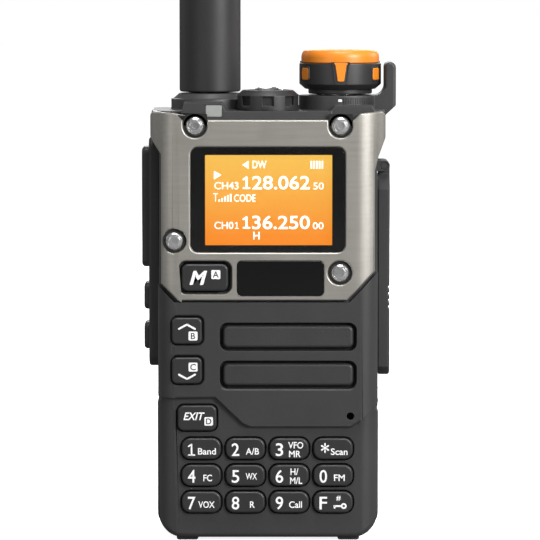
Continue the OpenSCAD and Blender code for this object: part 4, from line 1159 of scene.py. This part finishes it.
def build_keypad():
    """Twelve keypad keys with their digits and words."""
    for node in KEYPAD_NODES:
        cap, middle = key_cap(node, node + "_cap", 2.05 * MM)
        dress(cap, node, [node], ["Key black", "Grille back"])
        y = middle.y
        digit, words = LEGENDS[node]
        tall = sizes().digit_height
        weight = 0.00004
        if digit == "*":
            parts = [letters(digit, tall * 1.2, middle.x - 1.95 * MM, middle.z - 2.35 * MM, y,
                             1.95 * MM, weight, 0, "MIDDLE")]
        else:
            spot = (middle.x - 2.35 * MM, middle.z - 1.65 * MM)
            if digit == "1":
                thin = sizes().legend_relief
                parts = [numeral_one(spot[0], spot[1], tall, y - thin, 2 * thin, 0.13)]
            else:
                parts = [letters(digit, tall, spot[0], spot[1], y, 1.8 * MM, weight, 0, "MIDDLE")]
        for word, left, base, width in words:
            small = sizes().word_height * (0.75 if word == "#" else 1)
            parts.append(letters(word, small, middle.x + left * MM, middle.z + base * MM, y,
                                 width * MM, 0.00003))
        if node == "key_func":
            relief = 2 * sizes().legend_relief
            spot = Vector((middle.x + 2.55 * MM, y - relief / 2, middle.z - 0.9 * MM))
            parts.append(trim("ring", (spot.x - 0.7 * MM, spot.z - 0.7 * MM, spot.x + 0.7 * MM,
                                       spot.z + 0.7 * MM), 0.68 * MM,
                              (spot.x - 0.3 * MM, spot.z - 0.3 * MM, spot.x + 0.3 * MM,
                               spot.z + 0.3 * MM), 0.28 * MM, spot.y, relief))
            left = spot.x - 2.3 * MM
            parts.append(stroke([(spot.x - 0.7 * MM, spot.z), (left, spot.z)], 0.42 * MM, spot.y, relief))
            parts.append(stroke([(left + 0.1 * MM, spot.z), (left + 0.1 * MM, spot.z - 0.45 * MM)],
                                0.38 * MM, spot.y, relief))
        legend_done(parts, node, node + "_legend")


def build_function_keys():
    """Menu, up, down and exit keys with their legends."""
    relief = 2 * sizes().legend_relief
    for node, radius in (("key_menu", 1.45), ("key_up", 1.2), ("key_down", 1.2), ("key_exit", 1.45)):
        cap, middle = key_cap(node, node + "_cap", radius * MM)
        y = middle.y
        x, z = middle.x, middle.z
        side = 2.15 * MM
        if node == "key_menu":
            left = x - 1.55 * MM
            base = z - 1.55 * MM
            parts = [letters("M", 3.05 * MM, left, base, y, 4.2 * MM, 0.16 * MM, 0.28, "MIDDLE")]
            square, mark = boxed("A", x + 2.6 * MM, z + 0.75 * MM, y, side)
        elif node == "key_exit":
            left = x - 0.75 * MM
            base = z - 0.4 * MM
            parts = [letters("EXIT", 1.75 * MM, left, base, y, 5.1 * MM, 0.05 * MM, 0.28, "MIDDLE")]
            square, mark = boxed("D", x + 2.75 * MM, z - 0.75 * MM, y, side * 0.95)
        else:
            way = 1 if node == "key_up" else -1
            arm = 1.9 * MM
            tip = z + way * (1.55 if way > 0 else 2.0) * MM
            foot = z + way * (0.5 if way > 0 else 0.95) * MM
            points = [(x - arm, foot), (x, tip), (x + arm, foot)]
            parts = [stroke(points, 0.46 * MM, y - relief / 2, relief)]
            drop = -1.2 if way > 0 else 0.85
            square, mark = boxed("B" if way > 0 else "C", x + 1.45 * MM, z + drop * MM, y, side)
        dress(cap, node, [node], ["Key black", "Grille back"])
        legend_done(parts + [square], node, node + "_legend")
        dress(mark, node, [node], "Key black")
        mark.name = node + "_letter"


# ------------------------------------------------------------------ left side


def build_side_rail():
    """Raised rail round the left side's buttons."""
    piece = copy_of("side_rail", "side_rail_trim")
    low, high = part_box("side_rail")
    soften(piece, 0.6 * MM, lambda p: p.x < low.x + 0.02 * MM and (
        p.y < low.y + 0.05 * MM or p.y > high.y - 0.05 * MM
        or p.z < low.z + 3.1 * MM or p.z > high.z - 3.1 * MM), steps=3)
    soften(piece, sizes().edge_round, lambda p: p.x < low.x + 1.2 * MM)
    dress(piece, "radio", ["side_rail"], "Trim black")


def build_side_buttons():
    """Push-to-talk bar, its face lower between the grip ridges, and the two keys under it."""
    def outer_face(face):
        return face.normal.x < -0.99 and abs(face.calc_center_median().x - outer) < 0.01 * MM

    for node, ridges in (("ptt_button", 7), ("side_key_upper", 0), ("side_key_lower", 0)):
        low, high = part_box(node)
        piece = copy_of(node, node + "_cap")
        outer = low.x
        soften(piece, 0.8 * MM, lambda p: p.x < outer + 0.02 * MM, steps=4)
        soften(piece, sizes().edge_round, lambda p: p.x < outer + 3 * MM)
        parts = [piece]
        middle_y = (low.y + high.y) / 2
        middle_z = (low.z + high.z) / 2
        for number in range(ridges):
            z = middle_z + (number - (ridges - 1) / 2) * 1.9 * MM
            ridge = slab("ridge", Vector((0, 0, 0)), 5.4 * MM, 0.8 * MM, 0.5 * MM, 0.38 * MM, 4)
            soften(ridge, 0.14 * MM, at_front(0), steps=3)
            turn = Matrix.Rotation(-math.pi / 2, 4, "Z")
            ridge.matrix_world = Matrix.Translation((outer + 0.01 * MM, middle_y, z)) @ turn
            parts.append(settle(ridge))
        if ridges:
            pick(piece, outer_face, "FACE")
            bpy.ops.mesh.inset(thickness=0.7 * MM, depth=-0.3 * MM)
            close()
        piece = join(parts, node + "_cap")
        dress(piece, node, [node], "Trim black")


# ------------------------------------------------------------------ right side


def build_jack_cover():
    """Rubber cover over the sockets."""
    low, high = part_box("jack_cover")
    piece = copy_of("jack_cover", "jack_cover_rubber")
    soften(piece, 0.55 * MM, lambda p: p.x > high.x - 0.02 * MM and (
        p.y < low.y + 0.6 * MM or p.y > high.y - 0.6 * MM or p.z < low.z + 2.2 * MM), steps=3)
    soften(piece, sizes().edge_round)
    dress(piece, "jack_cover", ["jack_cover"], "Cover rubber")

    seat_t = 0.4 * MM
    edge = 0.3 * MM
    rim = 0.9 * MM
    outer = (low.y + edge, low.z + 1.2 * MM, high.y - edge, high.z - 3.4 * MM)
    inner = (outer[0] + rim, outer[1] + rim, outer[2] - rim, outer[3] - rim)
    seat = trim("jack_cover_seat", outer, 1.5 * MM, inner, 0.8 * MM, 0, seat_t)
    turn = Matrix.Rotation(math.pi / 2, 4, "Z")
    seat.matrix_world = Matrix.Translation((low.x - 0.06 * MM, 0, 0)) @ turn
    settle(seat)
    soften(seat, 0.05 * MM, lambda p: p.x > low.x - 0.1 * MM, steps=2)
    dress(seat, "radio", ["front_casing"], "Casing black")


# ------------------------------------------------------------------ top


def build_top_housing():
    """Top housing: collar, raised step, knob platform and guard."""
    low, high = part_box("top_housing")
    knob_low, knob_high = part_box("knob_body")
    knob = (knob_low + knob_high) / 2
    piece = copy_of("top_housing", "top_housing_shell")

    def guard_tip(point):
        return point.x > high.x - 2.9 * MM and point.z > high.z - 9 * MM

    soften(piece, 0.7 * MM, guard_tip, steps=4)
    lamp_low, lamp_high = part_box("status_light")

    def clear_of_lamp(point):
        gap = 0.4 * MM
        across = lamp_low.x - gap < point.x < lamp_high.x + gap
        return not (across and lamp_low.z - gap < point.z < lamp_high.z + gap and point.y < lamp_high.y + gap)

    soften(piece, sizes().edge_round + 0.05 * MM,
           lambda p: p.z > low.z + 2.1 * MM and not guard_tip(p) and clear_of_lamp(p))
    # the top housing takes the black lightened as painted light
    dress(piece, "radio", ["top_housing"], "Deck black")

    disc_r = 10 * MM
    disc_top = knob_low.z - 0.3 * MM
    front = Vector((knob.x - 0.2 * MM, knob.y - disc_r - 0.06 * MM, disc_top - 1.15 * MM))
    mark = slab("knob_index", front, 0.9 * MM, 0.6 * MM, 0.4 * MM, 0.12 * MM, 3)
    soften(mark, 0.05 * MM, at_front(front.y), steps=2)
    dress(mark, "radio", ["top_housing"], "Legend white")

    rib_start = Vector((knob.x, knob.y - disc_r - 0.14 * MM, disc_top - 1.25 * MM))
    rib = slab("rib", rib_start, 0.34 * MM, 1.7 * MM, 0.3 * MM, 0.12 * MM, 2)
    soften(rib, 0.07 * MM, at_front(rib_start.y), steps=1)
    ribs = [rib]
    for step in range(1, 24):
        ribs.append(twin(rib, "rib", turn=math.radians(4 + 3.4 * step), about=Vector((knob.x, knob.y, 0))))
    first = twin(rib, "rib", turn=math.radians(4), about=Vector((knob.x, knob.y, 0)))
    bpy.data.objects.remove(rib)
    scale = join([first] + ribs[1:], "volume_scale")
    dress(scale, "radio", ["top_housing"], "Trim black")


def build_status_light():
    """Small grey lamp window in the raised step."""
    low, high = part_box("status_light")
    middle = Vector(((low.x + high.x) / 2, low.y, (low.z + high.z) / 2))
    piece = slab("status_window", middle, high.x - low.x, high.z - low.z, high.y - low.y, 0.35 * MM, 4)
    soften(piece, 0.2 * MM, at_front(low.y), steps=3)
    dress(piece, "radio", ["status_light"], "Lamp grey")


def build_torch():
    """Torch: notched bezel, mirror, emitter and domed lens."""
    bezel = copy_of("torch_bezel", "torch_bezel_ring")
    soften(bezel, sizes().edge_round, steps=2)
    dress(bezel, "radio", ["torch_bezel"], "Trim black")

    low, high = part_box("torch_reflector")
    middle = Vector(((low.x + high.x) / 2, (low.y + high.y) / 2, low.z))
    rim = (high.x - low.x) / 2
    bowl = [(1.85 * MM, 0), (rim, 0), (rim, high.z - low.z), (rim - 0.35 * MM, high.z - low.z)]
    turns = 8
    for step in range(turns + 1):
        share = step / turns
        r = (rim - 0.5 * MM) * (1 - share) + 1.85 * MM * share
        bowl.append((r, (3.3 * (1 - share) ** 2 + 0.75) * MM * 0.8))
    bowl.append((1.85 * MM, 0))
    mirror = lathe("torch_mirror", bowl, middle, UP, 48)
    dress(mirror, "radio", ["torch_reflector"], "Mirror chrome")

    lens = copy_of("torch_lens", "torch_lens_dome")
    soften(lens, 0.1 * MM, steps=2)
    dress(lens, "radio", ["torch_lens"], "Lens clear")


def build_knob():
    """Volume knob: ring with orange tabs and inlays, and its dished orange cap."""
    low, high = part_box("knob_body")
    cap_low, cap_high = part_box("knob_cap")
    centre = Vector(((low.x + high.x) / 2, (low.y + high.y) / 2, 0))
    r = (high.x - low.x) / 2
    top = high.z
    bottom = low.z
    foot = bottom + 1.1 * MM
    ring = [
        (3.02 * MM, bottom + 1.25 * MM), (4.75 * MM, bottom + 1.25 * MM), (4.75 * MM, bottom),
        (r - 2.4 * MM, bottom), (r - 2.2 * MM, bottom + 0.2 * MM), (r - 2.2 * MM, foot),
        (r - 1.5 * MM, foot + 0.05 * MM), (r - 1.3 * MM, foot + 0.15 * MM), (r - 0.12 * MM, foot + 1.2 * MM),
        (r - 0.03 * MM, foot + 1.35 * MM), (r - 0.03 * MM, top - 0.32 * MM), (r - 0.12 * MM, top - 0.1 * MM),
        (r - 0.32 * MM, top), (3.02 * MM, top), (3.02 * MM, bottom + 1.25 * MM),
    ]
    body = lathe("knob_ring", ring, centre, UP, 96)
    dress(body, "knob", ["knob_body"], "Trim black")

    rim = (cap_high.x - cap_low.x) / 2
    base = cap_low.z
    tall = cap_high.z - cap_low.z
    curve = [(3.02 * MM, base), (rim - 0.3 * MM, base), (rim, base + 0.25 * MM), (rim, base + tall * 0.42)]
    steps = 7
    for step in range(1, steps + 1):
        turn = math.pi / 2 * step / steps
        inwards = 1.35 * MM * (1 - math.cos(turn))
        curve.append((rim - inwards, base + tall * (0.42 + 0.58 * math.sin(turn))))
    curve += [
        (rim - 1.9 * MM, base + tall - 0.04 * MM), (rim - 2.5 * MM, base + tall - 0.22 * MM),
        (rim - 3.6 * MM, base + tall - 0.4 * MM), (0, base + tall - 0.45 * MM), (0, base + 0.02 * MM),
        (3.02 * MM, base),
    ]
    cap = lathe("knob_top", curve, centre, UP, 96)
    dress(cap, "knob", ["knob_cap"], "Knob orange")

    # wedge tab, its dark channel and the raised lip round it
    front = centre.y - r
    z_top = top + 0.35 * MM

    def wedge(name, half_top, half_foot, flare, z_foot, proud, radius):
        """A tab outline: flared head, straight taper, round foot."""
        side = [(half_foot * 0.35, z_foot), (half_foot * 0.75, z_foot + radius * 0.12),
                (half_foot * 0.96, z_foot + radius * 0.42), (half_foot, z_foot + radius)]
        side.append((half_top, z_top - 1.1 * MM))
        for step in range(1, 5):
            turn = math.pi / 2 * step / 4
            outwards = flare * (1 - math.cos(turn))
            side.append((half_top + outwards, z_top - 1.1 * MM + 0.6 * MM * math.sin(turn)))
        side.append((half_top + flare, z_top))
        points = [(centre.x + x, z) for x, z in side] + [(centre.x - x, z) for x, z in reversed(side)]
        return shape(name, points, front - proud, 1.2 * MM)

    z_foot = foot + 1.95 * MM
    lip = wedge("lip", 1.95 * MM, 1.55 * MM, 0.25 * MM, z_foot - 0.7 * MM, 0.02 * MM, 0.9 * MM)
    pick(lip, lambda f: f.normal.y < -0.99, "FACE")
    bpy.ops.mesh.inset(thickness=0.26 * MM, depth=0)
    bpy.ops.mesh.inset(thickness=0.05 * MM, depth=-0.5 * MM)
    close()
    tab = wedge("tab", 1.3 * MM, 0.85 * MM, 0.35 * MM, z_foot, 0.04 * MM, 0.6 * MM)
    soften(tab, 0.16 * MM, at_front(front - 0.04 * MM), steps=3)

    # oval inlay in a sunk socket
    mid_z = (top + foot + 1.2 * MM) / 2
    socket = slab("socket", Vector((centre.x, front, mid_z)), 3.9 * MM, 3.8 * MM, MM, 0.9 * MM, 5)
    soften(socket, 0.1 * MM, at_front(front), steps=2)
    pick(socket, lambda f: f.normal.y < -0.99, "FACE")
    bpy.ops.mesh.inset(thickness=0.1 * MM, depth=0)
    bpy.ops.mesh.inset(thickness=0.05 * MM, depth=-0.5 * MM)
    close()
    spot = Vector((centre.x, front - 0.04 * MM, mid_z))
    inlay = slab("inlay", spot, 3.2 * MM, 3.05 * MM, 0.9 * MM, 0.7 * MM, 5)
    soften(inlay, 0.3 * MM, at_front(front - 0.04 * MM), steps=4)

    black = []
    orange = []
    for turn in range(3):
        angle = math.radians(120 * turn)
        between = angle + math.radians(60)
        black.append(twin(lip, "lip", turn=angle, about=centre))
        black.append(twin(socket, "socket", turn=between, about=centre))
        orange.append(twin(tab, "tab", turn=angle, about=centre))
        orange.append(twin(inlay, "inlay", turn=between, about=centre))
    for pattern in (lip, tab, socket, inlay):
        bpy.data.objects.remove(pattern)
    dress(join(black, "knob_lips"), "knob", ["knob_body"], "Trim black")
    dress(join(orange, "knob_tabs"), "knob", ["knob_cap"], "Knob orange")


def build_antenna():
    """Rubber whip: rounded foot, straight sleeve, long taper and round tip."""
    low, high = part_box("antenna_whip")
    centre = Vector(((low.x + high.x) / 2, (low.y + high.y) / 2, 0))
    r = (high.x - low.x) / 2
    tip = 4.5 * MM
    sleeve = low.z + 34 * MM
    bore = 4.62 * MM
    points = [
        (bore, low.z + 9 * MM), (bore, low.z), (r - 0.5 * MM, low.z), (r - 0.15 * MM, low.z + 0.15 * MM),
        (r, low.z + 0.5 * MM), (r, sleeve - 0.6 * MM),
    ]
    for step in range(1, 13):
        share = step / 12
        points.append((r + (tip - r) * share, sleeve + (high.z - tip - sleeve) * share))
    for step in range(1, 9):
        turn = math.pi / 2 * step / 8
        points.append((tip * math.cos(turn), high.z - tip + tip * math.sin(turn)))
    points[-1] = (0, high.z)
    points += [(0, low.z + 9 * MM), (bore, low.z + 9 * MM)]
    piece = lathe("antenna_rubber", points, centre, UP, 72)
    dress(piece, "antenna", ["antenna_whip"], "Antenna rubber")


# ------------------------------------------------------------------ back


def build_rear_chassis():
    """Rear chassis above and behind the battery."""
    piece = copy_of("rear_chassis", "rear_chassis_shell")
    soften(piece, 0.5 * MM, lambda p: p.y > 11 * MM and p.z > 79 * MM, steps=3)
    soften(piece, sizes().edge_round, lambda p: p.y < 11 * MM or p.z < 79 * MM)
    dress(piece, "radio", ["rear_chassis"], "Casing black")


def build_battery():
    """Battery pack: case, lid with feet and hinge ears, and latch."""
    for node in ("battery_case", "battery_lid"):
        low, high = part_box(node)
        piece = copy_of(node, node + "_shell")
        if node == "battery_lid":
            soften(piece, 0.8 * MM, lambda p: p.y > 12.5 * MM and (p.z > high.z - 0.05 * MM or (
                p.z < 1.05 * MM and p.y > 13 * MM and abs(p.x) < 12.9 * MM)), steps=3)
        soften(piece, sizes().edge_round, lambda p: abs(p.x) > 24 * MM or p.y > 13.9 * MM or p.z < 1.1 * MM
               or p.z > high.z - 0.1 * MM)
        dress(piece, "battery", [node], "Pack black")
    latch = copy_of("battery_latch", "battery_latch_catch")
    soften(latch, sizes().edge_round, steps=2)
    low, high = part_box("battery_latch")
    lid_back = high.y
    ribs = [latch]
    for step in range(4):
        rib = slab("rib", Vector((0, 0, 0)), 9 * MM, 0.36 * MM, 0.3 * MM, 0.15 * MM, 3)
        rib.matrix_world = Matrix.Translation((0, lid_back - 0.05 * MM, low.z + (0.45 + 0.5 * step) * MM))
        rib.matrix_world = rib.matrix_world @ Matrix.Rotation(math.pi, 4, "Z")
        ribs.append(settle(rib))
    latch = join(ribs, "battery_latch_catch")
    dress(latch, "battery", ["battery_latch"], "Trim black")


def build_clip():
    """Belt clip, its pin and its coiled spring."""
    low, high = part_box("belt_clip")
    piece = copy_of("belt_clip", "belt_clip_arm")
    soften(piece, 0.7 * MM, lambda p: p.y > high.y - 2.3 * MM and (
        abs(p.x) > high.x - 0.02 * MM or p.z > high.z - 1.1 * MM or p.z < low.z + 0.1 * MM), steps=3)
    soften(piece, sizes().edge_round)
    dress(piece, "clip", ["belt_clip"], "Trim black")

    low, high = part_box("clip_pin")
    middle = (low + high) / 2
    r = (high.z - low.z) / 2
    half = (high.x - low.x) / 2
    profile = [
        (0, -half), (r - 0.25 * MM, -half), (r, -half + 0.25 * MM), (r, half - 0.25 * MM),
        (r - 0.25 * MM, half), (0, half),
    ]
    pin = lathe("clip_pin_steel", profile, Vector((0, 0, 0)), UP, 32)
    pin.matrix_world = Matrix.Translation(middle) @ Matrix.Rotation(math.pi / 2, 4, "Y")
    settle(pin)
    dress(pin, "clip", ["clip_pin"], "Plain steel")

    low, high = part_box("clip_spring")
    middle = (low + high) / 2
    wire = 0.28 * MM
    coil_r = (high.z - low.z) / 2 - wire
    length = high.x - low.x - 2 * wire
    turns = 5
    steps = 20 * turns
    points = []
    for step in range(steps + 1):
        turn = math.tau * turns * step / steps
        points.append(Vector((middle.x - length / 2 + length * step / steps,
                              middle.y + coil_r * math.cos(turn), middle.z + coil_r * math.sin(turn))))
    bpy.ops.object.select_all(action="DESELECT")
    bpy.ops.mesh.primitive_plane_add(size=MM, location=points[0])
    coil = bpy.context.view_layer.objects.active
    settle(coil)
    whole(coil)
    bpy.ops.mesh.merge(type="CENTER")
    for start, end in zip(points, points[1:]):
        bpy.ops.mesh.extrude_vertices_move(TRANSFORM_OT_translate={"value": end - start})
    close()
    only(coil)
    bpy.ops.object.convert(target="CURVE")
    coil = bpy.context.view_layer.objects.active
    coil.data.bevel_depth = wire
    coil.data.bevel_resolution = 3
    coil.data.use_fill_caps = True
    bpy.ops.object.convert(target="MESH")
    coil = bpy.context.view_layer.objects.active
    coil.name = "clip_spring_coil"
    mend(coil)
    dress(coil, "clip", ["clip_spring"], "Spring steel")


def build_inside():
    """Finishes of the CAD nodes that show as they are."""
    for finish, nodes in (
        ("Speaker metal", ["speaker"]),
        ("Plain steel", ["usb_socket", "volume_shaft", "volume_control", "chassis_screws"]),
        # the microphone is painted near-black as painted shade in its hole
        ("Grille back", ["microphone"]),
        ("Black nickel", ["antenna_plug"]),
        ("Board green", ["main_board", "side_switches"]),
        ("Mat rubber", ["keypad_membrane"]),
        ("Milky diffuser", ["display_backlight"]),
        ("Contact gold", ["antenna_socket", "battery_contacts", "battery_terminals"]),
        ("Phosphor yellow", ["torch_led"]),
        ("Trim black", ["jack_block"]),
        ("Cell wrap", ["battery_cells"]),
    ):
        for node in nodes:
            finish_node(node, finish)


# ------------------------------------------------------------------ operators


class RADIO_OT_finishes(bpy.types.Operator):
    """Makes the materials"""

    bl_idname = "radio.finishes"
    bl_label = "Finishes"

    def execute(self, context):
        make_finishes()
        return {"FINISHED"}


class RADIO_OT_stage(bpy.types.Operator):
    """Floor, lights and camera"""

    bl_idname = "radio.stage"
    bl_label = "Stage"

    def execute(self, context):
        build_stage()
        return {"FINISHED"}


class RADIO_OT_casing(bpy.types.Operator):
    """Front casing"""

    bl_idname = "radio.casing"
    bl_label = "Casing"

    def execute(self, context):
        build_casing()
        return {"FINISHED"}


class RADIO_OT_face_plate(bpy.types.Operator):
    """Metal face plate"""

    bl_idname = "radio.face_plate"
    bl_label = "Face plate"

    def execute(self, context):
        build_face_plate()
        return {"FINISHED"}


class RADIO_OT_plate_screws(bpy.types.Operator):
    """Four domed screws"""

    bl_idname = "radio.plate_screws"
    bl_label = "Plate screws"

    def execute(self, context):
        build_plate_screws()
        return {"FINISHED"}


class RADIO_OT_badge(bpy.types.Operator):
    """Blank badge plate"""

    bl_idname = "radio.badge"
    bl_label = "Badge"

    def execute(self, context):
        build_badge()
        return {"FINISHED"}


class RADIO_OT_display(bpy.types.Operator):
    """Window, mask and screen"""

    bl_idname = "radio.display"
    bl_label = "Display"

    def execute(self, context):
        build_display()
        return {"FINISHED"}


class RADIO_OT_readout(bpy.types.Operator):
    """Digits and symbols on the screen"""

    bl_idname = "radio.readout"
    bl_label = "Readout"

    def execute(self, context):
        build_readout()
        return {"FINISHED"}


class RADIO_OT_grille(bpy.types.Operator):
    """Bars in the speaker slots"""

    bl_idname = "radio.grille"
    bl_label = "Speaker grille"

    def execute(self, context):
        build_grille()
        return {"FINISHED"}


class RADIO_OT_keypad(bpy.types.Operator):
    """Twelve keypad keys"""

    bl_idname = "radio.keypad"
    bl_label = "Keypad"

    def execute(self, context):
        build_keypad()
        return {"FINISHED"}


class RADIO_OT_function_keys(bpy.types.Operator):
    """Menu, arrow and exit keys"""

    bl_idname = "radio.function_keys"
    bl_label = "Function keys"

    def execute(self, context):
        build_function_keys()
        return {"FINISHED"}


class RADIO_OT_side_rail(bpy.types.Operator):
    """Rail round the side buttons"""

    bl_idname = "radio.side_rail"
    bl_label = "Side rail"

    def execute(self, context):
        build_side_rail()
        return {"FINISHED"}


class RADIO_OT_side_buttons(bpy.types.Operator):
    """Push-to-talk bar and side keys"""

    bl_idname = "radio.side_buttons"
    bl_label = "Side buttons"

    def execute(self, context):
        build_side_buttons()
        return {"FINISHED"}


class RADIO_OT_jack_cover(bpy.types.Operator):
    """Cover over the sockets"""

    bl_idname = "radio.jack_cover"
    bl_label = "Jack cover"

    def execute(self, context):
        build_jack_cover()
        return {"FINISHED"}


class RADIO_OT_top_housing(bpy.types.Operator):
    """Deck, collar, platform and guard"""

    bl_idname = "radio.top_housing"
    bl_label = "Top housing"

    def execute(self, context):
        build_top_housing()
        return {"FINISHED"}


class RADIO_OT_status_light(bpy.types.Operator):
    """Lamp window on the step"""

    bl_idname = "radio.status_light"
    bl_label = "Status light"

    def execute(self, context):
        build_status_light()
        return {"FINISHED"}


class RADIO_OT_torch(bpy.types.Operator):
    """Bezel, mirror and lens"""

    bl_idname = "radio.torch"
    bl_label = "Torch"

    def execute(self, context):
        build_torch()
        return {"FINISHED"}


class RADIO_OT_knob(bpy.types.Operator):
    """Ring, tabs, inlays and cap"""

    bl_idname = "radio.knob"
    bl_label = "Volume knob"

    def execute(self, context):
        build_knob()
        return {"FINISHED"}


class RADIO_OT_antenna(bpy.types.Operator):
    """Rubber whip"""

    bl_idname = "radio.antenna"
    bl_label = "Antenna"

    def execute(self, context):
        build_antenna()
        return {"FINISHED"}


class RADIO_OT_rear_chassis(bpy.types.Operator):
    """Back shell"""

    bl_idname = "radio.rear_chassis"
    bl_label = "Rear chassis"

    def execute(self, context):
        build_rear_chassis()
        return {"FINISHED"}


class RADIO_OT_battery(bpy.types.Operator):
    """Pack and latch"""

    bl_idname = "radio.battery"
    bl_label = "Battery"

    def execute(self, context):
        build_battery()
        return {"FINISHED"}


class RADIO_OT_clip(bpy.types.Operator):
    """Clip, pin and spring"""

    bl_idname = "radio.clip"
    bl_label = "Belt clip"

    def execute(self, context):
        build_clip()
        return {"FINISHED"}


class RADIO_OT_inside(bpy.types.Operator):
    """Finishes of the inner pieces"""

    bl_idname = "radio.inside"
    bl_label = "Inner pieces"

    def execute(self, context):
        build_inside()
        return {"FINISHED"}


OPERATORS = [
    RADIO_OT_finishes,
    RADIO_OT_stage,
    RADIO_OT_casing,
    RADIO_OT_face_plate,
    RADIO_OT_plate_screws,
    RADIO_OT_badge,
    RADIO_OT_display,
    RADIO_OT_readout,
    RADIO_OT_grille,
    RADIO_OT_keypad,
    RADIO_OT_function_keys,
    RADIO_OT_side_rail,
    RADIO_OT_side_buttons,
    RADIO_OT_jack_cover,
    RADIO_OT_top_housing,
    RADIO_OT_status_light,
    RADIO_OT_torch,
    RADIO_OT_knob,
    RADIO_OT_antenna,
    RADIO_OT_rear_chassis,
    RADIO_OT_battery,
    RADIO_OT_clip,
    RADIO_OT_inside,
]


class RADIO_PT_panel(bpy.types.Panel):
    """Lists the radio's sizes, colours and building steps."""

    bl_label = "Handheld Radio"
    bl_idname = "RADIO_PT_panel"
    bl_space_type = "VIEW_3D"
    bl_region_type = "UI"
    bl_category = "Radio"

    def draw(self, context):
        for group in (context.scene.radio_sizes, context.scene.radio_colours):
            box = self.layout.box()
            for name in group.__annotations__:
                box.prop(group, name)
        for step in OPERATORS:
            self.layout.operator(step.bl_idname)


CLASSES = [RadioSizes, RadioColours, *OPERATORS, RADIO_PT_panel]


def register():
    for item in CLASSES:
        bpy.utils.register_class(item)
    bpy.types.Scene.radio_sizes = bpy.props.PointerProperty(type=RadioSizes)
    bpy.types.Scene.radio_colours = bpy.props.PointerProperty(type=RadioColours)


def unregister():
    del bpy.types.Scene.radio_sizes
    del bpy.types.Scene.radio_colours
    for item in reversed(CLASSES):
        bpy.utils.unregister_class(item)


def main():
    register()
    for step in OPERATORS:
        getattr(bpy.ops.radio, step.bl_idname.split(".")[1])()


if __name__ == "__main__":
    main()
